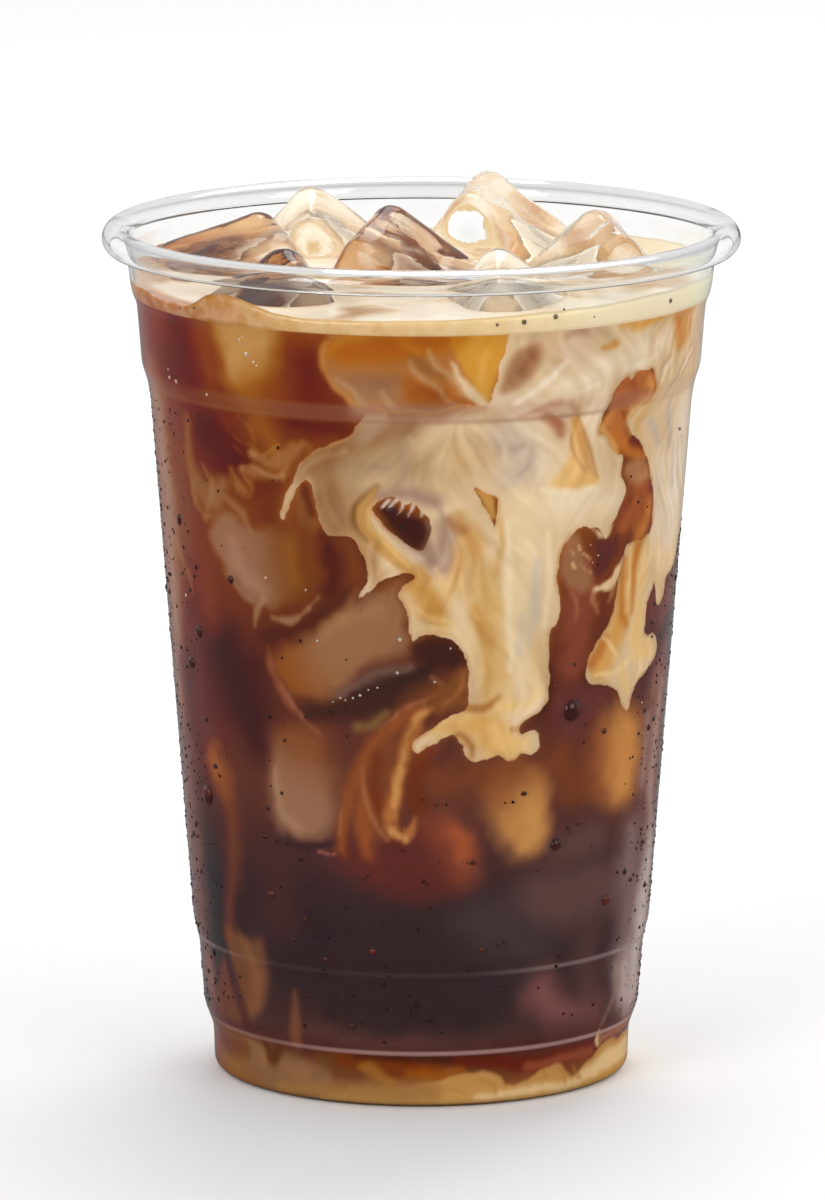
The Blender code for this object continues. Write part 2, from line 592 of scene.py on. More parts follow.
def lay(ground, mask, rgb):
    """Paint over the ground where the mask is 1. The colours mix as they look, not as light."""
    share = mask[..., None]
    return ground * (1 - share) + np.array(rgb, float) * share


def lay_layers(ground, layers, u, z, roughness=0.0):
    """Layers of (name, colour, softness, strength, shapes), the first one lowest."""
    for name, rgb, soft, strength, shapes in layers:
        depth = shape_depth(u, z, shapes, max(0.5 * soft, 0.25)) + roughness
        ground = lay(ground, strength * ease(depth, -soft, soft), rgb)
    return ground


print("once round the sheet is", ROUND, "mm")

# %% [markdown]
# The coffee first. From the top down it goes from amber to red to nearly black. The gold and cream
# in the foot is partly a pool of cream and partly painted reflection of the swirl in the moulded
# foot. Each layer has a name, a colour as it looks on the screen from 0 to 255, a softness in
# millimetres, a strength, and its shapes. A shape with three numbers a point is a brush stroke,
# with its half width last. One with two is a cut-out.

# %% The coffee, the sunk ice and the faint cream in it
COFFEE_TONES = [(0, (150, 100, 50)), (5, (110, 58, 34)), (9, (84, 44, 38)), (12, (70, 46, 44)),
    (20, (53, 37, 39)), (34, (58, 37, 39)), (42, (76, 42, 38)), (50, (94, 50, 38)), (58, (92, 46, 36)),
    (68, (82, 38, 28)), (78, (104, 48, 22)), (90, (116, 58, 22)), (100, (106, 46, 10)),
    (108, (108, 42, 4)), (116, (112, 44, 0)), (122, (138, 68, 8)), ]
# Coffee tones, with painted light and shade among them: a backlit glow, veils of reflection at the sides, a
# lamp spot, and shade under the step.
COFFEE_AND_PAINTED_LIGHT = [
    # Painted light: the orange at the top left is light from behind the drink glowing through the coffee.
    ("backlit orange at the top left", (134, 66, 10), 3.0, 0.9, [[(-36, 121, 2), (-32, 114, 2)], [(-20, 121, 1.4),
     (-20, 111, 1.4)]]),
    ("dark behind the wall", (98, 28, 0), 3.4, 1.0, [[(-39, 120, 3), (-38, 113, 3.6)], [(-16, 116, 1.8),
     (-14, 110, 1.4)]]),
    # Painted reflection: the mauve, pink and grey veils at both sides, here and further down, are partly
    # condensation on the wall and partly the bright surroundings reflected in it.
    ("mauve at the top left", (138, 92, 80), 4.0, 0.8, [[(-52, 119, 3), (-50, 112, 3.4)]]),
    ("shade under the step", (86, 24, 0), 2.0, 1.0, [[(-34.6, 105, 3), (-31, 101.6, 3.4),
     (-27, 101, 1.6)], [(-17, 107, 0.8), (-11, 107.2, 0.5)]]),
    ("amber under the step", (138, 76, 18), 2.2, 0.95, [[(-23.6, 106.4, 2.4), (-21, 102, 2)]]),
    ("red under the torn veil", (104, 42, 6), 1.8, 0.95, [[(-25, 96, 1.6), (-21, 96.4, 1.4)],
     [(-23, 92.4, 1.8)]]),
    ("left veil", (160, 126, 112), 5.0, 0.95, [[(-51, 107, 5), (-50, 96, 5), (-50, 84, 5), (-50, 72, 4)]]),
    ("pink in the veil", (146, 108, 104), 2.5, 0.35, [[(-54, 96, 1), (-52, 90, 1.6), (-54, 84, 1)],
     [(-52, 104, 1), (-50, 100, 1)]]),
    ("left brown", (124, 76, 58), 3.0, 0.8, [[(-42, 107, 2), (-42, 94, 2.4), (-42, 84, 2)]]),
    ("brown beside the ice", (120, 62, 34), 3.0, 0.9, [[(-38, 87, 2), (-38, 80, 3), (-36, 75, 2)]]),
    ("dark right of the shoulder", (78, 28, 6), 1.8, 1.0, [[(-13.4, 90, 1.2), (-12.4, 86, 1.6),
     (-13.4, 81.6, 1.2)]]),
    ("brown right of the strand", (122, 72, 36), 1.0, 0.9, [[(-17.4, 96, 0.5), (-17, 93, 1.2),
     (-15.4, 91, 0.8)]]),
    ("dark beside the strand", (78, 32, 8), 0.8, 0.9, [[(-16.6, 98.2, 0.3), (-16.2, 95.6, 0.7),
     (-15.6, 93.4, 0.6)]]),
    ("dark over the leaning ice", (76, 34, 18), 1.6, 1.0, [[(-24, 73, 1.2), (-18, 75.4, 1.2),
     (-12.6, 79.6, 1), (-10.4, 81.6, 0.5)]]),
    ("dark middle", (62, 30, 31), 3.6, 0.95, [[(-32, 70, 4.6), (-30, 62, 4.4), (-28, 56, 3)]]),
    ("plum beside the middle", (104, 66, 58), 3.6, 0.85, [[(-42, 72, 2.4), (-42, 60, 2.6), (-40, 57, 2)]]),
    ("dark under the leaning ice", (62, 34, 26), 2.0, 0.98, [[(-17, 62.6, 1.4), (-8, 64, 2.4),
     (0, 69, 2.4)]]),
    # Partly condensation, partly painted reflection at the left side.
    ("grey left side", (162, 132, 122), 5.0, 0.94, [[(-53, 66, 4), (-53, 52, 4), (-53, 40, 5),
     (-54, 26, 5)]]),
    ("lamp spot left", (168, 98, 48), 2.6, 0.9, [[(-38.4, 52, 1.6), (-36.4, 48, 1.6)]]),
    ("red right of the column", (130, 64, 46), 2.6, 0.98, [[(25, 82, 3.4), (25, 75, 3.6), (24, 69, 3)]]),
    ("plum under it", (104, 54, 50), 2.6, 0.95, [[(22.6, 63, 2), (30, 62.4, 1.8), (24, 58.6, 2.4)]]),
    ("warm under the foot of the cream", (118, 60, 34), 2.6, 0.95, [[(14, 53.6, 2), (4, 52, 2),
     (-2, 55, 1)], [(22, 54, 3), (26, 49, 2)]]),
    ("plum right low", (94, 65, 62), 4.0, 0.95, [[(24, 40, 3), (32, 40, 3)], [(20, 32, 5), (36, 32, 5)]]),
    ("mauve right low", (134, 108, 106), 4.0, 0.95, [[(42, 40, 3), (42, 28, 3.4), (40, 22, 2)]]),
    # Partly condensation, partly painted reflection at the right side.
    ("mauve veil right", (164, 134, 124), 4.0, 0.95, [[(50, 62, 3), (49, 50, 3), (50, 40, 3),
     (52, 24, 4)], [(45, 58, 1.6), (45, 48, 1.6)]]),
    ("lilac under the right cream", (136, 98, 86), 2.6, 0.9, [[(50, 76, 2), (47, 74, 1.6)],
     [(46, 63, 2.4), (50, 68, 2)]]),
    ("dark gap in the band", (112, 66, 54), 1.0, 0.95, [[(42.4, 76.6, 0.8), (43, 73.6, 0.7)]]),
    ("black coffee", (51, 35, 37), 4.0, 0.95, [[(-18, 28, 4), (-6, 27, 5), (4, 27, 5)], [(-14, 17, 4),
     (2, 16, 5), (12, 17, 3)]]),
    ("grey black coffee", (68, 51, 52), 4.0, 0.9, [[(10, 30, 4), (16, 27, 4), (20, 24, 3)]]),
    ("plum left low", (72, 42, 42), 3.6, 0.9, [[(-26, 38, 3), (-25, 30, 3)]]),
    ("red mist low", (128, 78, 74), 3.6, 0.95, [[(22, 18, 3), (26, 14, 2.4), (34, 13, 2)]]),
    # Partly condensation, partly painted reflection at both sides.
    ("veil at the right side", (116, 88, 82), 4.5, 0.85, [[(59, 66, 5), (59, 40, 6), (59, 16, 5)]]),
    ("veil at the left side", (108, 78, 72), 4.5, 0.85, [[(-59, 66, 5), (-59, 40, 6), (-59, 16, 5)]]),
    ("between the foot lines", (92, 60, 58), 4.0, 0.8, [[(31, 23, 3), (33, 17, 4)]]),
    # Painted reflection: the mists at the sides of the foot are partly condensation and partly the bright
    # surroundings reflected in the wall.
    ("mist and reflection at the right foot", (122, 94, 91), 5.0, 0.95, [[(46, 36, 4), (46, 24, 5), (44, 14, 4)]]),
    ("mist and reflection at the left foot", (114, 88, 84), 5.0, 0.9, [[(-50, 52, 3), (-50, 36, 4), (-51, 24, 5),
     (-50, 14, 4)]]),
    ("pale mist and reflection at the edge", (190, 174, 168), 4.0, 0.95, [[(50.4, 36, 3), (48.8, 24, 4), (50, 14, 4)]]),
    ("mauve mist and reflection low", (182, 158, 154), 3.0, 0.97, [[(43, 18, 3), (46, 13, 2.4), (52, 14, 3)]]),
    ("brown mist low", (92, 56, 48), 2.4, 0.9, [[(-20, 12.4, 1), (-8, 10.6, 0.8), (10, 10.8, 0.9)]]),
    ("red mist low left", (134, 100, 94), 3.0, 0.9, [[(-50, 17, 3), (-48, 12, 2)]]),
]
# Painted light: each sunk cube shows as a soft glow of the light that comes through it, shading from one
# colour to another.
# name, colour at the start, colour at the end, start, end, softness, strength, outline
SUNK_ICE_LIGHT = [
    ("behind the wall", (190, 144, 84), (136, 72, 8), (-25.4, 118), (-21, 110), 2.2, 0.9, [(-29, 123),
     (-29.4, 117), (-28, 112.6), (-24.6, 108.6), (-21.6, 110), (-20.4, 117), (-20.6, 123)]),
    ("shoulder", (142, 98, 72), (112, 58, 14), (-27, 84), (-16.6, 85), 1.3, 0.97, [(-36, 88.6),
     (-33, 90.8), (-29.6, 91.2), (-26, 89.6), (-21, 90.4), (-16.5, 88.6), (-14.6, 84.6), (-17, 80.8),
     (-20.4, 79.2), (-24, 78.2), (-28, 79.2), (-31, 82.2), (-34, 85.8)]),
    ("leaning", (136, 76, 32), (146, 101, 68), (-22, 67.6), (-13, 72), 1.5, 0.97, [(-23.4, 69.4),
     (-20.6, 72.4), (-16, 74.6), (-11.6, 78.6), (-8, 81.4), (-3, 83.6), (-1, 82), (-2.2, 78),
     (-1.4, 74.4), (-4.4, 71.4), (-9, 68.6), (-13.6, 65.4), (-18.6, 64.2), (-21.8, 66)]),
    ("standing", (146, 104, 78), (124, 70, 38), (-21, 48.4), (-17.6, 59), 2.4, 0.95, [(-23.6, 58.8),
     (-18.6, 60.4), (-14.6, 58.4), (-13.6, 52), (-14, 45), (-16.4, 42.6), (-20.6, 42), (-24.4, 43.4),
     (-25.6, 48.4), (-24.8, 54)]),
    ("golden", (192, 132, 72), (122, 66, 34), (17.4, 45), (10.4, 54), 2.3, 0.97, [(9, 53), (13.4, 55.6),
     (18, 54), (20.4, 50), (21, 45), (20.6, 41.4), (18.6, 39.2), (15.4, 39.2), (13.2, 41.4), (11.4, 44.4),
     (9.4, 48.4)]),
    ("right", (198, 134, 70), (142, 76, 42), (37, 52.6), (28.6, 50.6), 3.0, 0.97, [(28, 56), (32, 60),
     (37, 61), (41, 58.6), (42.4, 53), (41, 47), (37, 44.8), (32.6, 46), (28.4, 49)]),
    ("red", (156, 78, 46), (90, 40, 34), (8.4, 43), (0.4, 38.4), 2.7, 0.97, [(-13, 43.6), (-7, 43),
     (-1, 46), (4, 47), (7.6, 44), (8.8, 39.6), (7.4, 36), (2, 34), (-4, 34), (-10, 36), (-13.4, 39.6)]),
]
# Painted light and shade round the sunk ice: glows in the cubes, a painted sheen, lit tops, and painted
# shade under the cubes.
GLOWS_AND_SHADE = [
    ("grey light in the shoulder", (158, 118, 92), 1.8, 0.7, [[(-30, 87, 1), (-28.6, 83, 1.6),
     (-25, 80.4, 1)]]),
    ("amber in the shoulder", (146, 88, 34), 2.0, 0.7, [[(-20, 88, 1), (-19.6, 83, 1)]]),
    ("lit top of the leaning ice", (166, 120, 84), 1.2, 0.4, [[(-15, 74.4, 0.6), (-10, 77.4, 1),
     (-6, 79, 1)]]),
    ("sheen under the leaning ice", (112, 86, 72), 0.7, 0.75, [[(-13, 65.6, 0.5), (-8, 67.4, 0.8),
     (-2.6, 70.6, 0.7)]]),
    ("shade under the sheen", (54, 30, 25), 0.8, 0.9, [[(-10, 65.4, 0.5), (-4, 68, 0.9), (1, 71, 0.8)]]),
    ("pale edge of the standing ice", (168, 128, 100), 1.2, 0.6, [[(-23.6, 52, 0.6), (-23.4, 46, 0.8),
     (-20, 43.6, 0.6)]]),
    ("shade under the standing ice", (56, 36, 36), 0.8, 0.95, [[(-24, 41.4, 0.4), (-19, 40.8, 0.8),
     (-14.6, 41.4, 0.6)]]),
    ("bright core of the golden ice", (206, 150, 86), 2.2, 0.55, [[(16.4, 49, 0.8), (18, 44, 1.2),
     (17, 41.4, 0.8)]]),
    ("bright core at the right", (204, 140, 76), 3.0, 0.6, [[(35.4, 56, 1), (36.4, 49, 1.6)]]),
    ("orange core of the red ice", (170, 84, 44), 2.2, 0.7, [[(5.4, 43.6, 0.8), (7, 41, 0.8)]]),
]
WISPS = [
    ("left ribbon", (118, 66, 44), 2.0, 0.7, [[(-35.6, 49, 1.6), (-34.6, 42, 1.9), (-35.6, 34, 1.5),
     (-37.2, 29, 1.3), (-37.6, 25, 1.4)]]),
    ("left leaf", (122, 76, 48), 1.3, 0.8, [[(-39, 25.4), (-36, 25.8), (-32, 24.8), (-29, 25.4),
     (-28.4, 21), (-29.4, 16), (-32, 12.6), (-34, 11.8), (-36, 14.6), (-38.4, 19.4)]]),
    ("light in the leaf", (142, 92, 58), 1.8, 0.6, [[(-33, 23, 1), (-31.6, 17, 1.4), (-33, 13.4, 0.6)]]),
    ("far leaf", (118, 74, 50), 1.5, 0.75, [[(-41.6, 20.4), (-39.6, 18), (-37.6, 13.6), (-36.6, 10.4),
     (-40, 9.6), (-45.6, 10.2), (-44.6, 15)]]),
    ("dark between the leaves", (92, 48, 32), 0.8, 0.6, [[(-39, 20, 0.3), (-37.4, 15.6, 0.5),
     (-35.4, 11.4, 0.6)]]),
    ("small plume", (134, 78, 52), 1.0, 0.7, [[(-23, 17.4, 0.2), (-23.2, 14, 1.1), (-23.2, 9.6, 1.1)]]),
    ("plume veil", (124, 66, 34), 2.0, 0.8, [[(5.6, 67, 1), (0.6, 66, 1.6), (-3, 60, 2.4), (-6, 53, 3.2),
     (-7, 46, 3)]]),
    ("orange plume", (142, 74, 34), 1.1, 0.85, [[(-1.6, 63.6, 0.9), (-7.6, 58, 1.2), (-10.6, 52, 1.4),
     (-12.2, 46, 1.2), (-12.8, 41, 0.7)], [(-9.4, 50, 0.8), (-9, 44, 1.4), (-8.4, 40.6, 0.9)]]),
    ("red in the plume", (106, 44, 16), 1.2, 0.85, [[(0.6, 57, 1), (-1, 52, 1.2), (-0.4, 48, 1.2)],
     [(-7, 56, 0.4), (-7.2, 51, 0.7), (-6.2, 47, 0.4)]]),
    ("plume light", (174, 108, 54), 0.7, 0.85, [[(4, 64.8, 0.5), (0, 62.8, 0.9), (-2.6, 58, 0.9),
     (-3.8, 52, 0.8), (-4.8, 46.4, 1.1)], [(-5, 45.2, 0.9), (-3.4, 43.8, 1), (-1.6, 44.6, 0.8),
     (-0.9, 46.2, 0.4)]]),
    ("plume gold", (206, 148, 84), 0.45, 0.7, [[(-2.4, 59.4, 0.2), (-3.4, 54, 0.3), (-4.2, 48.4, 0.35)],
     [(-4.6, 44.4, 0.5), (-2.8, 43.4, 0.5)], [(3, 64.4, 0.2), (-0.4, 62.6, 0.35), (-2.2, 59.6, 0.25)]]),
    ("plume threads", (176, 116, 76), 0.4, 0.45, [[(-9.4, 54.4, 0.2), (-8.8, 49.6, 0.3),
     (-7.2, 45.6, 0.3), (-5.6, 43, 0.2)], [(-12.6, 48, 0.15), (-13, 43.6, 0.25)], [(1.4, 68.6, 0.2),
     (4, 66.8, 0.3), (6.4, 64.4, 0.2)], [(-6.4, 60.4, 0.15), (-2, 64.2, 0.25), (2.6, 66.2, 0.2)]]),
    ("olive spot", (138, 104, 54), 1.0, 0.7, [[(-10, 60.2, 0.6), (-7.6, 61, 0.8), (-5.6, 63, 0.4)]]),
    ("crescent", (150, 86, 56), 0.8, 0.75, [[(-24.2, 71.6, 0.3), (-23.8, 67.6, 0.7), (-21, 63.6, 0.6),
     (-18.4, 61, 0.5), (-16, 59, 0.2)]]),
    ("crescent light", (180, 122, 88), 0.4, 0.45, [[(-23.4, 67.8, 0.15), (-20.8, 64, 0.25),
     (-18, 61, 0.2)]]),
    ("curl under the shoulder", (160, 118, 84), 0.5, 0.75, [[(-25, 79, 0.4), (-26.2, 77, 0.5),
     (-26.4, 74.6, 0.25)], [(-23.4, 76.6, 0.25), (-20.8, 76.2, 0.7), (-18.6, 77.2, 0.5),
     (-16.8, 78.6, 0.2)]]),
    ("frost under the shoulder", (150, 112, 88), 0.5, 0.6, [[(-31.6, 82.4, 0.2), (-29, 79.6, 0.4),
     (-26.6, 78.6, 0.4)], [(-17, 78.8, 0.2), (-15.2, 80.4, 0.3)]]),
    ("tan mist left", (140, 94, 62), 1.4, 0.9, [[(-39.2, 105, 0.6), (-39.4, 99, 1), (-37.4, 95, 1.8),
     (-34, 93.6, 2.2), (-31.6, 96, 1.4)]]),
    ("tan folds left", (160, 114, 78), 0.7, 0.6, [[(-39.4, 96, 0.2), (-38.6, 92.6, 0.4),
     (-36.4, 90.6, 0.4), (-34.6, 90.9, 0.3)], [(-36.4, 98.6, 0.2), (-34.2, 96.4, 0.6), (-34.4, 93.6, 0.4),
     (-35.6, 91.6, 0.2)], [(-31.4, 94.4, 0.3), (-29, 93, 0.8), (-27.4, 91.4, 0.5), (-26.6, 89.6, 0.2)]]),
    ("tan curl left", (152, 100, 54), 0.7, 0.75, [[(-29.8, 99, 0.3), (-28.6, 96.8, 0.9),
     (-27.2, 95.4, 0.7), (-26.4, 95, 0.3)], [(-27.8, 98.6, 0.3), (-26.4, 97.2, 0.4),
     (-25.8, 95.8, 0.25)]]),
    ("torn veil", (152, 100, 56), 0.9, 0.85, [[(-27.8, 99.2, 0.4), (-25, 98.9, 0.9), (-21.6, 98.7, 0.7),
     (-20, 99.6, 0.6), (-18.8, 102, 1.2), (-16.6, 104, 0.6)], [(-25.6, 101.6, 0.6), (-22.4, 100.6, 1.2),
     (-20, 101.6, 1)]]),
    ("pale edge of the veil", (182, 134, 86), 0.45, 0.5, [[(-27.6, 99.6, 0.2), (-25.4, 99.8, 0.35),
     (-22.6, 98.4, 0.35), (-20.4, 98.9, 0.25)], [(-26, 102, 0.2), (-23.6, 101.6, 0.3),
     (-20.6, 103.4, 0.3)]]),
    ("threads over the dark", (148, 88, 36), 0.4, 0.5, [[(-30, 105, 0.15), (-28, 103.8, 0.3),
     (-25.8, 103.2, 0.3), (-24, 101.8, 0.3)], [(-27.4, 107.4, 0.15), (-25.4, 105.6, 0.3),
     (-24.6, 103.4, 0.25)], [(-28.8, 102.6, 0.15), (-26.8, 101.4, 0.25)]]),
    ("thread at the left", (160, 124, 104), 0.9, 0.4, [[(-46.4, 95.4, 0.3), (-47.4, 90.6, 0.6),
     (-46.8, 86, 0.7), (-44.4, 82.4, 0.6), (-42, 79.6, 0.5), (-41.6, 77.6, 0.3)]]),
    ("tail under the window", (226, 190, 142), 0.35, 0.98, [[(33.6, 84.6, 0.2), (32.6, 82.6, 0.6),
     (31.2, 80.8, 0.8), (29.4, 80.4, 0.5), (27.8, 80.4, 0.3)]]),
    ("threads under the window", (188, 130, 88), 0.55, 0.6, [[(27.4, 80.6, 0.3), (27.8, 78.4, 0.5),
     (28.8, 76.6, 0.2)], [(31.8, 80, 0.4), (31, 78, 0.3)], [(23.6, 80, 0.15), (24.6, 78, 0.25),
     (24.4, 76, 0.1)]]),
    ("beige wisp low right", (160, 124, 106), 0.9, 0.5, [[(36.8, 10, 0.3), (39, 12, 0.5), (41, 14.6, 0.4),
     (41, 18, 0.3), (41.8, 19.6, 0.2)]]),
    ("scratch over the dark", (190, 110, 90), 0.2, 0.5, [[(-17, 40.3, 0.15), (-13.8, 40, 0.2)]]),
]

# %% [markdown]
# The cream is one large shape, read from the photograph feature by feature in the order in which
# its edge runs: the left side of the cloud, the strand, the arch, the lumpy foot, the column's
# right side, the window, the hook, the plume and the band at the right.

# %% The edge of the cream
CLOUD_LEFT = [(-6.6, 110.3), (-8.8, 107.6), (-10, 106), (-13.6, 104.2), (-16.4, 101.9), (-18, 99.6),
    (-20.5, 95.1), (-21.4, 92.8), (-20.7, 92.1), (-19.8, 93.3), (-18.9, 95.5), (-17.7, 97.6),
    (-16.6, 98.6), (-15.8, 97.6), (-15.2, 94.2), (-14.5, 91.5), (-13.6, 90.1), (-11.8, 89.9), (-10, 89.6)]
STRAND = [(-8.6, 87.4), (-7.7, 84.9), (-7.9, 82.8), (-9.4, 80.1), (-7, 81.9), (-5.6, 83.6), (-3.6, 84.5),
    (-1, 84.4)]
ARCH = [(-2.6, 82.9), (-3.4, 81.2), (-2.3, 78.7), (-1.6, 75.5), (-1.3, 74.1), (-0.5, 74.9), (1, 75.3),
    (3, 75.1), (5, 74), (6.1, 72.4), (7, 70.1), (7.1, 66.9), (6.9, 63.7)]
LUMPY_FOOT = [(4.5, 62.6), (2.3, 61.2), (0, 59.9), (-1.6, 58.2), (-0.8, 56.6), (0.6, 57.6), (2.7, 58.8),
    (4.5, 59.5), (6.2, 58), (6.4, 56.5), (7.5, 55.1), (9.2, 55.2), (10.9, 55.7), (12, 56.1), (13.2, 54.9),
    (14.5, 55), (15.7, 55.9), (17.5, 55.8), (18.6, 56.9), (18.4, 58.5), (17.8, 59.3), (16.4, 59.5),
    (15.4, 59.1), (15.1, 59.9), (15.8, 61.1), (17.7, 62.1), (19.3, 63.3)]
COLUMN_RIGHT = [(19.8, 65.2), (19.8, 74.2), (20.7, 76), (21.3, 78.3), (20.7, 83.3), (20.9, 85.2),
    (21.4, 87.4)]
WINDOW = [(22.4, 89.3), (24.1, 90.4), (25.9, 90.1), (27.7, 89.6), (29.1, 88), (30, 89.6), (31.4, 91.5),
    (33, 94.6), (32.4, 96.4), (31.7, 97.6), (31.9, 100.2)]
HOOK = [(30.5, 101), (29.5, 101.9), (28.2, 104), (26.8, 104.5), (26.9, 106.6), (28, 109.4), (28.5, 111),
    (29.5, 112.3), (30.9, 113.1), (31.8, 112.7), (32.7, 113.7), (34.5, 113.4), (36.1, 113.5),
    (36.5, 112.4), (37.6, 110.3), (36.6, 108.6), (34, 107.6), (32.2, 105.8), (33.6, 103.3), (35.9, 101.5),
    (37.7, 99.2), (39.1, 96.5), (40, 93.7), (40.4, 89.6), (39.6, 87.2), (36.2, 86.6)]
PLUME = [(34, 86), (33.4, 83.3), (32.6, 79.2), (31.4, 75.1), (29.5, 72.4), (27.6, 70.2), (26.8, 67.6),
    (27, 65.9), (29.1, 64.9), (31.8, 64.6), (33.9, 63.5), (35.2, 61.5), (36.4, 60.1), (37.5, 60.5),
    (38, 62.1), (39.5, 64.2), (42.3, 65.3), (44.8, 66.9), (45.9, 68.5), (45.3, 70), (43.6, 71.1),
    (41.4, 71.2), (40.7, 72.8), (40.4, 74.6)]
RIGHT_BAND = [(41.1, 76.4), (42.2, 78.4), (42.7, 79), (43.2, 77.6), (43.6, 76.2), (44.8, 75.1),
    (46.4, 75.8), (47, 77.4), (47.4, 78.9), (50.5, 79.8), (52.3, 81), (54, 84), (58, 86), (66, 90),
    (66, 104), (60, 112), (56, 123), (40, 124), (26, 124), (13, 124)]
TOP_FOLD = [(11.6, 119.4), (10.6, 117), (9.6, 113.4), (8.9, 110.8), (6, 110.9), (1, 110.3), (-3, 110.6)]
LEFT_AND_FOOT = CLOUD_LEFT + STRAND + ARCH + LUMPY_FOOT
CREAM_OUTLINE = LEFT_AND_FOOT + COLUMN_RIGHT + WINDOW + HOOK + PLUME + RIGHT_BAND + TOP_FOLD
CREAM_HOLES = [
    [(-7, 94.6), (-5.5, 96.2), (-3.6, 96.3), (-2.2, 95.2), (-1.2, 95.6), (0.2, 94.2), (1.2, 93.2),
     (1.5, 91.4), (1.0, 89.4), (0, 88.2), (-1.4, 88.6), (-4, 90.6), (-6.2, 93.2)],
    [(7.7, 97.6), (9, 97), (10.9, 96.2), (11, 94), (10.6, 91.4), (9.7, 93.8), (8.5, 96.2)],
]
print("the edge of the cream has", len(CREAM_OUTLINE), "points")
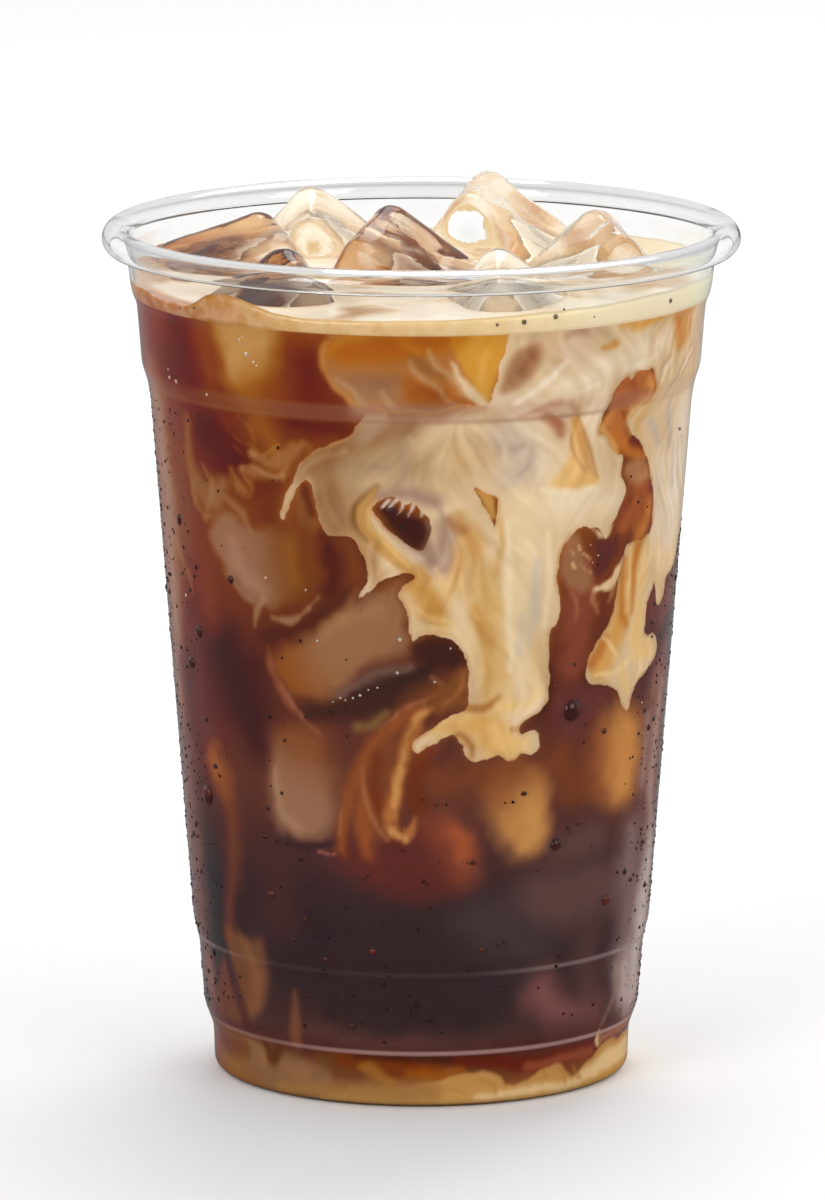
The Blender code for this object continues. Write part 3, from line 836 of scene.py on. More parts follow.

# %% [markdown]
# The cream is not one tone either. It is tan where it is thin, gold where it is mixed, and pale
# where it is thick. Its grey and lilac folds, edges and streaks are painted shade, and its lit
# folds are painted highlights. The layers below go over the cream, and the coffee stains, painted
# shadow and painted glints after them go into the gaps.

# %% The tones of the cream
CREAM_TONE = (212, 182, 142)
CREAM_LAYERS = [
    ("thin cloud", (136, 92, 54), 3.6, 0.97, [[(-16, 101, 3), (-10, 104, 3), (-3, 106.6, 2)],
     [(-13, 96, 3), (-12, 91.6, 2)]]),
    ("cloud light", (168, 134, 98), 3.0, 0.9, [[(-9, 100, 2), (-5, 102, 3), (0, 101, 3)],
     [(-9, 97, 1.6)]]),
    # Painted shade and painted highlights on the folds of the cloud.
    ("shaded folds of the cloud", (150, 124, 98), 0.9, 0.6, [[(-14, 100, 0.3), (-10, 101.6, 0.5),
     (-5, 101, 0.4)], [(-12.6, 97, 0.3), (-11.6, 92.6, 0.5)], [(-3, 105, 0.4), (-2, 101, 0.5),
     (-3.6, 98, 0.3)]]),
    ("lit folds of the cloud", (196, 166, 126), 0.6, 0.5, [[(-17, 99.6, 0.2), (-14.6, 102, 0.5),
     (-10.6, 103.6, 0.4)], [(-14.2, 98, 0.2), (-13, 94, 0.5), (-11.6, 91, 0.3)], [(-1.6, 106, 0.3),
     (0, 103, 0.5), (-0.6, 99, 0.3)]]),
    ("brown at the step", (150, 108, 78), 1.8, 0.9, [[(-9, 106, 1), (-5, 107.4, 1.4), (-1, 107.8, 1)]]),
    ("cloud middle", (194, 160, 118), 2.6, 0.9, [[(4, 104, 3), (8, 103, 3)], [(4, 99, 2)]]),
    ("grey cloud", (198, 176, 158), 2.4, 0.85, [[(12, 106, 2.4), (15, 102, 2.4), (13, 99, 2)]]),
    ("lilac shades of the cloud", (172, 148, 132), 0.8, 0.7, [[(10.6, 105.4, 0.4), (12.6, 103.4, 0.8),
     (14.6, 104.2, 0.4)], [(16, 104.6, 0.3), (15.6, 101.4, 0.5), (14, 99.6, 0.3)]]),
    ("pale folds of the cloud", (222, 200, 174), 0.7, 0.7, [[(9, 107, 0.3), (11.6, 104.6, 0.4),
     (12, 101.4, 0.3)], [(17.6, 103, 0.3), (17.4, 99, 0.6), (16, 96.6, 0.4)]]),
    ("pale cloud", (228, 204, 168), 3.0, 0.97, [[(19, 94.4, 2.4), (25, 94, 3), (29.6, 94, 2)],
     [(25, 106, 1), (26, 110, 1.6)]]),
    ("strand tone", (178, 136, 90), 1.4, 0.9, [[(-10, 91, 1.4), (-7, 86, 1.4), (-6.4, 83, 0.6)]]),
    # Painted shade by the hole.
    ("lilac shade by the hole", (146, 114, 98), 1.4, 0.9, [[(-6, 96.6, 0.8), (-2, 97, 1), (2, 96, 1)],
     [(-5, 94, 1), (-1, 90, 1.6), (3, 86, 1.6), (3.6, 92, 1.4)]]),
    ("grey light by the hole", (176, 150, 130), 0.6, 0.7, [[(2.6, 94.6, 0.4), (4, 91, 0.6),
     (3.4, 87, 0.5), (1.6, 84.6, 0.3)]]),
    ("gold right of the hole", (192, 140, 76), 1.6, 0.95, [[(5.6, 93, 0.8), (7, 89, 1.8), (6, 83, 2)]]),
    ("brown right of the hole", (156, 104, 62), 0.9, 0.8, [[(4, 92.6, 0.6), (5.8, 91.4, 0.8)]]),
    ("column base", (206, 164, 104), 2.6, 0.95, [[(9, 84, 2.4), (11, 76, 3.4), (11, 66, 3)]]),
    ("gold left of the column", (184, 132, 64), 1.6, 0.97, [[(-1, 83.6, 1.6), (1, 80, 2.4), (3, 77, 1.4)],
     [(8, 79, 0.8), (10, 74, 1)]]),
    ("fans left of the column", (214, 170, 106), 0.5, 0.8, [[(2, 85.6, 0.2), (3.6, 82, 0.35),
     (4.6, 78.6, 0.2)], [(5.6, 84.6, 0.2), (6.6, 81, 0.4), (8.6, 77.6, 0.2)], [(-0.6, 79.6, 0.2),
     (1, 78, 0.5), (4, 77, 0.5), (6.6, 74.4, 0.4)], [(8.8, 86, 0.2), (9.6, 82, 0.35), (11.4, 78, 0.2)]]),
    ("pale lip of the arch", (222, 188, 134), 0.6, 0.85, [[(-1, 75.8, 0.3), (1.6, 76.3, 0.5),
     (5, 75.4, 0.5), (7.2, 73, 0.4), (8, 69.6, 0.3)]]),
    # Painted shade at the edge of the column.
    ("shaded edge of the column", (186, 148, 116), 0.8, 0.7, [[(7.8, 70, 0.3), (7.9, 65, 0.5)]]),
    ("pale column", (222, 194, 152), 2.0, 0.97, [[(14, 96, 1.6), (15, 90, 2.6), (15.4, 82, 2.4),
     (14, 76, 1.6), (16, 68, 1.6)]]),
    ("column streaks light", (234, 212, 174), 0.6, 0.75, [[(12.4, 92, 0.3), (12.8, 84, 0.7),
     (13.4, 76, 0.5), (13.6, 69, 0.3)], [(18.8, 90, 0.3), (19.4, 82, 0.6), (18.8, 76, 0.4)]]),
    # Painted shadow streaks on the column.
    ("shadow streak on the column", (190, 176, 158), 0.8, 0.8, [[(17.2, 86, 0.4), (17.2, 80, 0.9), (16.6, 75, 0.5),
     (16, 71, 0.2)], [(15.4, 78, 0.3), (14.8, 72, 0.5)]]),
    ("gold streaks of the column", (198, 152, 88), 0.6, 0.7, [[(10.8, 96, 0.3), (11.6, 90, 0.5),
     (11, 84, 0.3)], [(9.6, 76, 0.3), (10.4, 70, 0.5), (10, 66, 0.3)]]),
    ("gold right of the low column", (206, 162, 106), 1.6, 0.8, [[(17.2, 72, 1.2), (17.6, 66, 1.2)]]),
    ("gold foot", (212, 162, 92), 1.8, 0.97, [[(2, 60.6, 1), (9, 61, 2.2), (12, 57.6, 2.4),
     (16, 57.4, 1)]]),
    ("light foot", (226, 182, 116), 0.9, 0.85, [[(11, 60.4, 0.6), (13, 57.8, 1.2), (16.4, 57.6, 0.8)],
     [(12, 63.4, 0.6), (16, 63.6, 0.9), (18.4, 65.4, 0.5)], [(3, 61.6, 0.3), (7, 62, 0.6)]]),
    ("brown folds of the foot", (158, 104, 50), 0.6, 0.9, [[(7, 63.6, 0.5), (9.6, 63.8, 0.6),
     (12, 65.2, 0.3)], [(4.6, 59, 0.4), (6, 59.6, 0.4), (7.6, 57.6, 0.6), (7.6, 56, 0.3)], [(14, 60, 0.4),
     (15.6, 60.4, 0.4), (17, 61.2, 0.2)]]),
    ("gold beside the hook", (216, 170, 112), 1.0, 0.85, [[(38.2, 112, 0.4), (38.2, 110, 0.7),
     (36, 107.2, 0.9), (34.2, 105.4, 0.9), (35.6, 102.8, 0.5)]]),
    ("orange over the plume", (176, 108, 58), 1.2, 0.92, [[(38, 88.4, 0.8), (37.2, 85, 0.8)]]),
    ("plume gold", (208, 150, 78), 1.6, 0.97, [[(36.4, 86, 1), (34.8, 79, 1.6), (33, 73, 2),
     (30, 68, 2.4)]]),
    ("plume amber", (186, 112, 46), 0.9, 0.9, [[(33.8, 84, 0.5), (33.8, 77, 0.9), (35.2, 73.6, 0.5)],
     [(28, 68.6, 1), (30.6, 72, 0.9)], [(37, 86, 0.8), (36.6, 82, 0.6), (36.4, 75.4, 0.4)]]),
    ("plume light", (228, 186, 124), 1.2, 0.95, [[(39, 85, 1), (38.6, 77, 1.2), (38.6, 70, 2),
     (42.6, 68.8, 1.2)], [(34.6, 66.8, 1), (36.6, 63, 0.7)], [(34.8, 80, 0.4), (35, 76, 0.4)]]),
    ("plume folds", (232, 196, 140), 0.4, 0.8, [[(30, 72.6, 0.2), (32, 71, 0.4), (33.4, 69, 0.3)],
     [(29, 66.6, 0.3), (33, 66.6, 0.5), (37, 68, 0.4)], [(35.2, 86, 0.2), (35.4, 82, 0.3),
     (35.2, 78, 0.3)]]),
    ("right band", (222, 201, 178), 2.4, 0.95, [[(50, 104, 4), (48, 92, 4), (47, 84, 3)], [(42, 98, 1.4),
     (42.6, 88, 1.4)]]),
    ("right edge", (212, 194, 178), 3.4, 0.95, [[(56, 116, 3), (57, 100, 3), (57, 88, 3)]]),
    ("warm foot of the band", (228, 192, 144), 1.8, 0.85, [[(42, 84, 1), (46, 82, 1.6), (50, 82, 1)]]),
    ("band foot", (206, 172, 126), 1.0, 0.85, [[(42, 80.6, 0.6), (45, 77, 1)]]),
    # Painted shade in lilac streaks.
    ("lilac shade streaks", (184, 168, 158), 0.9, 0.85, [[(42.6, 107.6, 0.3), (43.6, 104, 0.8),
     (44.4, 100.6, 0.6)], [(46.4, 100, 0.3), (46.6, 94, 0.5)], [(38, 104.6, 0.6), (40.6, 101.4, 0.5)]]),
    ("gold triangle", (214, 155, 76), 0.8, 0.97, [[(21.9, 107.8), (23.2, 107.2), (24.6, 103),
     (26.4, 99.2), (27.4, 97.4), (25.6, 96.6), (19.4, 97.2), (20.6, 99.8), (22, 103)]]),
    ("amber in the triangle", (190, 126, 58), 0.5, 0.9, [[(22.4, 107, 0.3), (23.6, 104, 0.7),
     (24.8, 101, 0.7), (26.4, 98.4, 0.4)]]),
    ("edges of the triangle", (164, 100, 48), 0.3, 0.85, [[(22.8, 107.8, 0.2), (25, 103, 0.25),
     (27.1, 97.8, 0.2)], [(21.8, 105, 0.15), (22.6, 101.8, 0.25), (24.6, 99.4, 0.2)]]),
    ("pale under the triangle", (234, 214, 178), 0.6, 0.8, [[(17.6, 97, 0.3), (20.6, 96.4, 0.5),
     (26.6, 95.8, 0.6)]]),
    ("red spot", (160, 94, 66), 1.0, 0.95, [[(17.6, 108.4, 0.6), (19.4, 107, 1.1), (20.2, 105.4, 0.6)]]),
    ("red over the step", (176, 120, 92), 0.8, 0.8, [[(14, 108.6, 0.2), (17.6, 110, 0.6),
     (19.6, 110.4, 0.5)], [(21, 110, 0.4), (22.6, 108.6, 0.3)]]),
    ("pale fold over the spot", (216, 186, 156), 0.35, 0.9, [[(12.6, 108.9, 0.2), (16, 110.4, 0.3),
     (18.6, 111.5, 0.3)], [(19, 108.6, 0.2), (20.6, 107.6, 0.3), (21.6, 106.4, 0.15)]]),
    ("upper beige", (206, 176, 146), 2.0, 0.95, [[(15, 121, 1), (19, 117.6, 2), (23, 119.4, 2)],
     [(11, 111.6, 1), (14, 111.4, 1)]]),
    ("upper pale", (232, 210, 180), 2.0, 0.97, [[(19, 112.6, 1), (23, 113.4, 1.8), (28, 115.4, 2),
     (34, 116.8, 2.4), (38.6, 117.6, 1.4)]]),
    ("white folds above", (240, 224, 200), 0.6, 0.8, [[(12.6, 110.6, 0.3), (17, 113.6, 0.6),
     (20, 116.4, 0.3)], [(30, 114.4, 0.3), (34, 114.8, 0.6), (37, 115.6, 0.3)], [(22, 111.6, 0.2),
     (25, 112.4, 0.5)]]),
    ("tilted brown", (158, 110, 76), 0.9, 0.95, [[(10.6, 112.8), (11.4, 116.2), (13.4, 119),
     (15.8, 119.8), (16.6, 118), (15.4, 115.4), (12.8, 113)]]),
    ("dark of the tilted brown", (136, 86, 56), 0.8, 0.7, [[(13.4, 115.6, 0.5), (15, 118, 0.6)]]),
    ("gold oval", (202, 146, 82), 0.45, 0.95, [[(26.2, 118.1, 0.5), (28, 118.5, 0.7)]]),
    ("brown bump", (190, 150, 122), 0.6, 0.85, [[(20, 120.6, 0.6), (21.4, 121.6, 0.9), (23, 120.8, 0.5)]]),
    ("gold at the top", (214, 150, 72), 0.9, 0.95, [[(29, 121.7, 0.7), (33, 121.4, 1),
     (37.6, 121.6, 0.6)]]),
    ("amber patch right", (206, 146, 88), 0.9, 0.95, [[(39.8, 121.8), (46.8, 121.8), (47.2, 118.8),
     (45.8, 116.2), (43, 115.4), (41.6, 117.2), (40.6, 119.6)]]),
    ("orange in the patch", (196, 118, 56), 0.7, 0.8, [[(41, 120.8, 0.4), (42.6, 119.4, 0.6),
     (43, 117.6, 0.3)]]),
    ("mauve right of it", (210, 176, 152), 1.8, 0.85, [[(50.6, 120, 2), (50.6, 114, 2)]]),
    ("fold shades", (184, 154, 128), 0.3, 0.8, [[(37.9, 110.8, 0.2), (38.4, 113.2, 0.3),
     (40.6, 114.9, 0.2)], [(45.2, 113.6, 0.15), (43.4, 111.4, 0.3), (41, 110, 0.25)], [(44, 110.4, 0.15),
     (46, 112.2, 0.3), (48.6, 113.8, 0.2)]]),
    ("fold lights", (238, 218, 190), 0.3, 0.8, [[(38.9, 111, 0.2), (39.6, 113, 0.3), (41.4, 114.2, 0.2)],
     [(44.6, 111.8, 0.2), (46.4, 113, 0.3), (48.2, 114.6, 0.2)]]),
    ("brown veil of the cloud", (138, 92, 52), 3.0, 0.5, [[(-13, 104, 2.4), (-14, 98, 2.6),
     (-12.4, 92, 1.6)]]),
    ("melting top", (146, 98, 66), 1.3, 0.95, [[(-9, 110.4, 1.2), (-4, 110.2, 1.5), (2, 110, 1.4),
     (7.6, 111, 0.8)]]),
]
GOLD_STREAK = [
    ("gold streak shade", (112, 72, 34), 0.7, 0.9, [[(-6.2, 98.2, 0.2), (-8.9, 95, 0.8),
     (-9.3, 92.4, 0.8), (-7.6, 89.8, 0.5)]]),
    ("gold streak", (186, 138, 76), 0.4, 0.97, [[(-6.4, 97.8, 0.3), (-8.2, 94.6, 0.9), (-8, 91.8, 1),
     (-5.6, 88.6, 1), (-2.6, 86.2, 0.9), (0.4, 84, 1.1)]]),
    ("gold streak light", (216, 172, 104), 0.3, 0.8, [[(-7.6, 94.6, 0.2), (-7.2, 91.8, 0.35),
     (-4.8, 88.8, 0.35), (-1.6, 86, 0.3)]]),
    ("pale thread beside it", (196, 168, 144), 0.3, 0.8, [[(-6.6, 95.4, 0.2), (-6, 92.8, 0.3),
     (-3.4, 89.8, 0.4), (0, 86.8, 0.3)]]),
]
AMBER_FOLDS = [
    ("lobe", (166, 104, 50), 0.5, 0.97, [[(-13.6, 118.6), (-13.4, 116.1), (-12, 113.6), (-9.5, 111.3),
     (-6.6, 108.6), (0, 108.6), (6, 109.4), (9, 110.4), (11, 114), (12.4, 118), (14, 123), (-9.6, 123),
     (-12.4, 121.2)]]),
    ("lobe tan", (150, 108, 76), 1.8, 0.85, [[(-10.6, 114.4, 1), (-7, 113, 2), (-3.6, 112.6, 1.6)]]),
    ("lobe shade", (134, 92, 66), 1.3, 0.7, [[(-8.6, 115, 0.5), (-5.6, 114.4, 0.9), (-3.4, 115, 0.5)],
     [(-4, 111.4, 0.5), (-2.2, 109.6, 0.5)]]),
    ("amber top", (166, 86, 6), 1.4, 0.97, [[(-11.6, 119, 1.2), (-6, 119.8, 2), (0, 120.4, 1.8),
     (4, 121, 1.2)]]),
    ("gold of the lobe", (186, 116, 30), 0.9, 0.7, [[(-12.6, 118.6, 0.4), (-10.6, 120.8, 0.7),
     (-7.6, 121.4, 0.5)], [(-2.6, 120.8, 0.5), (-0.6, 119, 0.5)]]),
    ("amber wedge", (158, 82, 24), 1.2, 0.85, [[(-2, 115.4), (0.6, 115), (3.6, 113.4), (6.2, 111.2),
     (5.4, 110), (1, 109.6), (-1.2, 111), (-2.2, 113)]]),
    ("red in the wedge", (134, 58, 18), 1.0, 0.6, [[(0, 113.4, 0.4), (2.4, 112.2, 0.6),
     (4.4, 110.8, 0.4)]]),
    ("brown behind the folds", (138, 88, 44), 0.8, 0.85, [[(-1.6, 118.2, 0.4), (0.4, 116.8, 0.8),
     (2.6, 115.2, 0.5)]]),
    ("gold wedge", (198, 138, 48), 0.6, 0.97, [[(4.4, 122), (12.4, 122), (11, 118.4), (9.8, 114.4),
     (8.9, 111.2), (7.4, 113), (5.8, 115.8), (4.4, 118.8)]]),
    ("light in the gold", (218, 164, 80), 0.9, 0.7, [[(8.6, 118.6, 0.6), (8, 115, 0.6),
     (8.4, 112.4, 0.3)]]),
    ("amber in the gold", (176, 98, 14), 1.2, 0.8, [[(5, 121.6, 1.2), (4.4, 119.6, 0.5)]]),
    ("pale folds", (192, 156, 114), 0.6, 0.6, [[(-11.2, 114.6, 0.2), (-9.4, 113.2, 0.35),
     (-7.8, 111, 0.4), (-5.8, 109.2, 0.5)], [(-5.2, 113, 0.2), (-3.8, 111.2, 0.4), (-3.6, 109.4, 0.4)],
     [(-1.8, 117.6, 0.2), (-0.6, 115.6, 0.4), (1.6, 114, 0.4), (3.6, 111.6, 0.3), (5.4, 110.2, 0.3)],
     [(0.6, 119.4, 0.2), (2, 116.8, 0.4), (4.4, 114.8, 0.4), (5.6, 112.6, 0.3)]]),
    ("lobe foot", (158, 112, 80), 1.4, 0.85, [[(-8.6, 109.8, 1), (-2, 109.8, 1.2), (4, 110.2, 0.9)]]),
    ("pale fold by the gold", (222, 196, 158), 0.5, 0.92, [[(8.4, 110.8, 0.7), (6.8, 112.8, 0.8),
     (5.2, 115.2, 0.55), (4, 117.6, 0.2)]]),
    ("lobe rim", (190, 130, 66), 0.5, 0.6, [[(-12.8, 120.4, 0.2), (-13.5, 118, 0.3), (-12.8, 115, 0.3),
     (-10.4, 112.4, 0.35), (-8, 110.2, 0.4)]]),
]
# Coffee stains in the gaps of the cream, with painted shadow under the hook and painted glints in the
# window.
STAINS_SHADOW_AND_GLINTS = [
    ("hook red", (182, 104, 54), 0.7, 0.99, [[(28, 110, 1), (31, 110, 3), (34, 112, 2), (36, 111.4, 1.4)],
     [(29.4, 106, 2), (31, 103, 1.6)]]),
    ("hook dark", (160, 84, 46), 1.0, 0.8, [[(29.6, 111.6, 0.6), (31.4, 112, 0.8), (32.6, 111, 0.4)],
     [(28.4, 108.4, 0.3), (30, 109.6, 0.6)]]),
    ("hook orange side", (214, 146, 74), 1.0, 0.9, [[(35.6, 111.6, 0.7), (36.4, 110, 0.8),
     (34.6, 109, 0.8)], [(27.6, 105.6, 0.4), (28.6, 107.6, 0.4)]]),
    ("hook gold", (224, 170, 108), 0.9, 0.97, [[(36.6, 108.9, 0.5), (34, 107.8, 0.9), (32.6, 106.2, 1.0),
     (33, 104, 0.5)]]),
    ("hook left gold", (220, 166, 92), 0.5, 0.95, [[(27, 105.2, 0.5), (28.6, 103.4, 0.8),
     (30, 101.8, 0.6), (31.6, 99.4, 0.25)]]),
    ("hook neck", (186, 106, 42), 0.7, 0.97, [[(29.6, 105, 0.5), (31, 102.6, 0.9), (33.4, 100.9, 0.9),
     (36.8, 99.8, 0.6)]]),
    ("hook lower", (156, 84, 44), 0.9, 0.99, [[(33, 90, 1.6), (35.6, 94, 2.6), (38, 96, 1.4)],
     [(37, 90, 2.4), (38.6, 93, 1.2)]]),
    ("hook shadow", (122, 58, 38), 1.0, 0.85, [[(31.6, 90, 0.7), (33.6, 93.4, 0.8), (34.2, 95, 0.4)]]),
    ("hook ghost", (180, 130, 90), 1.0, 0.8, [[(32.4, 98.4), (33.6, 99.4), (36.6, 99.3), (38.6, 97.4),
     (38.4, 95.9), (35.4, 95.6), (32.9, 96.8)]]),
    ("hook orange", (190, 114, 52), 1.0, 0.97, [[(39.2, 92, 0.7), (38.4, 88.6, 1.2), (36.6, 86.6, 1.2),
     (36.4, 83, 0.8)]]),
    ("window ice", (152, 102, 70), 0.9, 0.97, [[(23, 88.2, 1.4), (23.6, 84, 2.4), (25.4, 82, 1.8)]]),
    ("window dark", (88, 42, 38), 0.8, 0.97, [[(28.4, 87.4, 1), (29.6, 85.6, 1.8), (28.6, 83.4, 0.9)],
     [(31.4, 87.6, 0.5), (32, 85.6, 0.4)]]),
    # Painted glints in the window.
    ("window glints", (230, 186, 128), 0.25, 0.85, [[(22.6, 86.9, 0.05), (23.4, 86.1, 0.12)],
     [(24.2, 87.7, 0.05), (24.6, 86.8, 0.12)], [(25.2, 86.2, 0.06), (26.4, 85.2, 0.12)],
     [(24.4, 84.7, 0.05), (25.6, 83.8, 0.13)], [(26.4, 83.6, 0.05), (27, 83, 0.1)], [(23.2, 84.8, 0.1),
     (23.7, 84.2, 0.08)]]),
    ("window rim", (228, 198, 152), 0.3, 0.9, [[(26.6, 89.9, 0.2), (27.9, 88.7, 0.45), (28.7, 88.5, 0.3),
     (29.6, 88.7, 0.45), (30.4, 89.9, 0.2)]]),
    ("hole dark", (58, 24, 12), 0.8, 0.99, [[(-4.8, 94.2, 1), (-2.6, 92.2, 1.9), (-0.4, 90.6, 2.2),
     (0.6, 88.8, 1.4)]]),
    ("hole lilac", (124, 94, 86), 0.8, 0.85, [[(0.9, 93, 0.3), (1.3, 90.8, 0.3), (0.6, 88.6, 0.3)]]),
    ("hole spikes", (216, 202, 190), 0.2, 0.95, [[(-2.2, 96.4, 0.35), (-3, 94.4, 0.14),
     (-3.6, 93.2, 0.03)], [(-1, 96, 0.35), (-1.6, 94.4, 0.14), (-2, 93.4, 0.03)], [(-3.4, 96.2, 0.3),
     (-4.6, 94.6, 0.08)], [(0.4, 95.4, 0.3), (-0.2, 94, 0.08)], [(-4.6, 95.8, 0.25), (-5.6, 94.8, 0.05)]]),
    ("arch dark", (58, 28, 22), 0.9, 0.99, [[(0, 73, 1.6), (2.6, 72.6, 2.2), (4.6, 71.4, 1.6)]]),
    ("arch brown", (122, 70, 32), 1.2, 0.97, [[(6, 69.4, 0.8), (4.6, 66.6, 1.8), (2.6, 64.4, 1.6),
     (5.8, 65, 1)]]),
    ("arch light", (150, 96, 54), 0.5, 0.7, [[(6.6, 69.6, 0.3), (5.6, 66.6, 0.4), (3.4, 64.6, 0.3)]]),
    ("tab gold", (196, 146, 74), 0.4, 0.99, [[(8, 97.4, 0.5), (9.6, 96, 0.9), (10.3, 93.2, 0.6)]]),
]
# The foot: partly a pool of cream and partly painted reflection of the swirl in the moulded foot.
FOOT_LAYERS = [
    ("foot tan left", (132, 94, 64), 1.4, 0.95, [[(-66, 5, 3.4), (-50, 5, 3.4), (-34, 4.6, 3.6),
     (-20, 3.4, 3)]]),
    ("foot brown left", (112, 68, 34), 1.6, 0.9, [[(-50, 7, 1), (-44, 5.6, 1.8), (-38, 6, 1.4)],
     [(-19, 7, 0.9), (-14, 6.6, 1.2)]]),
    ("foot notch", (88, 46, 24), 0.9, 0.9, [[(-31.4, 8.2, 0.6), (-30.2, 5.8, 1.5), (-28.4, 7.2, 1.0),
     (-27, 8, 0.5)]]),
    ("foot light left", (154, 110, 72), 1.4, 0.55, [[(-36, 7.6, 0.5), (-33, 6.4, 0.9), (-32.6, 4.4, 0.5)],
     [(-27, 4.6, 0.5), (-22, 4.2, 0.8)], [(-49, 3, 0.4), (-41, 2.4, 0.6)]]),
    ("foot amber", (118, 52, 6), 1.0, 0.97, [[(-15, 7.4, 1), (-6, 6.8, 1.6), (2, 6.4, 1.6)]]),
    ("dark under the line", (72, 33, 21), 0.7, 0.92, [[(-12, 8.3, 0.4), (4, 8, 0.6), (14, 8.1, 0.4)]]),
    ("foot orange", (150, 82, 20), 1.2, 0.9, [[(-2, 5.4, 0.6), (3, 5.2, 1), (7, 6.2, 0.6)]]),
    ("foot red", (100, 34, 18), 0.6, 0.97, [[(6, 7.8, 0.7), (14, 7, 1), (19, 6, 1.4), (27, 6.4, 1.3),
     (36, 6.6, 1.2)]]),
    ("foot red light", (144, 74, 50), 0.9, 0.9, [[(20, 5.4, 0.9), (28, 6, 0.9), (36, 6, 1)]]),
    ("foot right tan", (176, 112, 84), 0.8, 0.85, [[(39, 7.6, 0.7), (46, 7.8, 0.7), (52, 8, 0.6)]]),
    ("foot gold", (200, 150, 84), 0.4, 0.85, [[(-14, 0), (-14, 2.4), (-8, 3), (-2, 3.4), (4, 4.6),
     (8.4, 5.6), (12, 5.4), (14.6, 4.2), (15.8, 3.1), (18.6, 3.1), (21.6, 4), (24, 4.9), (27.6, 5.2),
     (29.6, 3.6), (32, 2.7), (33.6, 3.9), (36, 4.8), (38.6, 6), (42, 6.6), (47, 6.2), (52, 6.4), (66, 7),
     (66, 0)]]),
    ("foot gold left", (156, 110, 62), 1.4, 0.9, [[(-28, 1.4, 0.8), (-18, 2, 1.2), (-8, 2.4, 1.6),
     (2, 2.8, 1.6)]]),
    ("foot lobe", (160, 108, 48), 0.8, 0.75, [[(-11, 6.4, 0.5), (-9.4, 6.2, 1.2), (-7.4, 4.8, 1),
     (-5, 3.6, 0.6)]]),
    ("foot pale", (232, 196, 146), 0.7, 0.85, [[(10, 1.6, 0.4), (22, 1.8, 0.7), (30, 1.6, 0.6),
     (40, 3.4, 1.4), (50, 3.6, 1.6), (60, 3.6, 1.6)]]),
    ("foot folds", (174, 118, 58), 0.45, 0.6, [[(1, 3.4, 0.15), (5, 3, 0.3), (8, 2.6, 0.2)],
     [(10.6, 4.4, 0.2), (13, 3.4, 0.35), (13.6, 2, 0.2)], [(26.6, 4.8, 0.2), (28.8, 3.6, 0.4),
     (29.2, 1.8, 0.2)], [(31, 4.4, 0.2), (32.2, 3, 0.4), (33.6, 2.2, 0.2)], [(23.6, 4.4, 0.2),
     (24.6, 3, 0.3)]]),
    ("foot curl", (228, 188, 134), 0.3, 0.95, [[(36.8, 9, 0.2), (37.3, 7.6, 0.5), (38.2, 6.6, 0.4)]]),
    ("foot curl shade", (168, 108, 66), 0.25, 0.85, [[(37.8, 8.6, 0.15), (38.8, 7.4, 0.35),
     (39.4, 6.4, 0.25)]]),
]
print("layers:", len(COFFEE_AND_PAINTED_LIGHT + GLOWS_AND_SHADE + WISPS + CREAM_LAYERS + AMBER_FOLDS + STAINS_SHADOW_AND_GLINTS + FOOT_LAYERS))

# %% [markdown]
# Cream that sinks leaves streaks along its flow. They are made by smearing grain along the flow:
# beside an edge the flow follows the edge, and inside the cream it falls and curls. Coarse grain
# gives the broad bands of gold and white, and fine grain the hair lines. The back of the drink
# repeats the front's layers, folded over at both sides and bent out of shape, so that the
# painting closes round the cup.

# %% The flow of the cream
SHEET_STEP = 0.3


def sheet_grid():
    u = np.arange(-SIDE_U - 6, SIDE_U + 6, SHEET_STEP)
    z = np.arange(0, 126, SHEET_STEP)
    return np.meshgrid(u, z)


def look_up(sheet, u, z):
    """The sheet's value at any place, read between its points."""
    x = np.clip((u + SIDE_U + 6) / SHEET_STEP, 0, sheet.shape[1] - 1.001)
    y = np.clip(z / SHEET_STEP, 0, sheet.shape[0] - 1.001)
    i, j = y.astype(int), x.astype(int)
    a, b = y - i, x - j
    return ((sheet[i, j] * (1 - a) + sheet[i + 1, j] * a) * (1 - b)
            + (sheet[i, j + 1] * (1 - a) + sheet[i + 1, j + 1] * a) * b)


def cream_depth(u, z):
    depth = cutout(u, z, CREAM_OUTLINE, 12.0)
    return -soft_max(-depth, shape_depth(u, z, CREAM_HOLES), 0.4)


def flow_of_cream():
    """The direction of the flow on the front sheet, as steps in u and z."""
    u, z = sheet_grid()
    depth = np.clip(cream_depth(u, z), -9, 9)
    rise, run = np.gradient(depth, SHEET_STEP)
    along = np.stack([rise, -run], axis=-1)
    along = along * np.where(along[..., 1:] > 0, -1, 1)
    size = np.linalg.norm(along, axis=-1, keepdims=True) + 1e-6
    by_edge = np.exp(-np.abs(depth)[..., None] / 2.0)
    flat = np.stack([u, z, 0 * u], axis=-1)
    swirl = cloud(flat, 13, 301) + 0.5 * cloud(flat, 6, 303, 2)
    fall = np.stack([1.1 * swirl, -np.ones(u.shape)], axis=-1)
    flow = along / size * by_edge + fall * (1 - by_edge)
    return flow / (np.linalg.norm(flow, axis=-1, keepdims=True) + 1e-6)


def smeared(flow, grain_size, length, seed):
    """Grain smeared along the flow, about -2.5 to 2.5."""
    u, z = sheet_grid()
    grain = cloud(np.stack([u, z, 0 * u], axis=-1), grain_size, seed, 2)
    total = grain.copy()
    for sense in (1, -1):
        x, y = u.copy(), z.copy()
        for _ in range(int(length / SHEET_STEP)):
            x = x + sense * SHEET_STEP * look_up(flow[..., 0], x, y)
            y = y + sense * SHEET_STEP * look_up(flow[..., 1], x, y)
            total = total + look_up(grain, x, y)
    return np.clip(total / total.std(), -2.5, 2.5)


flow = flow_of_cream()
hair_lines = smeared(flow, 0.75, 4.0, 311)
broad_bands = smeared(flow, 3.2, 9.0, 321)
print("streaks on a sheet of", hair_lines.shape)
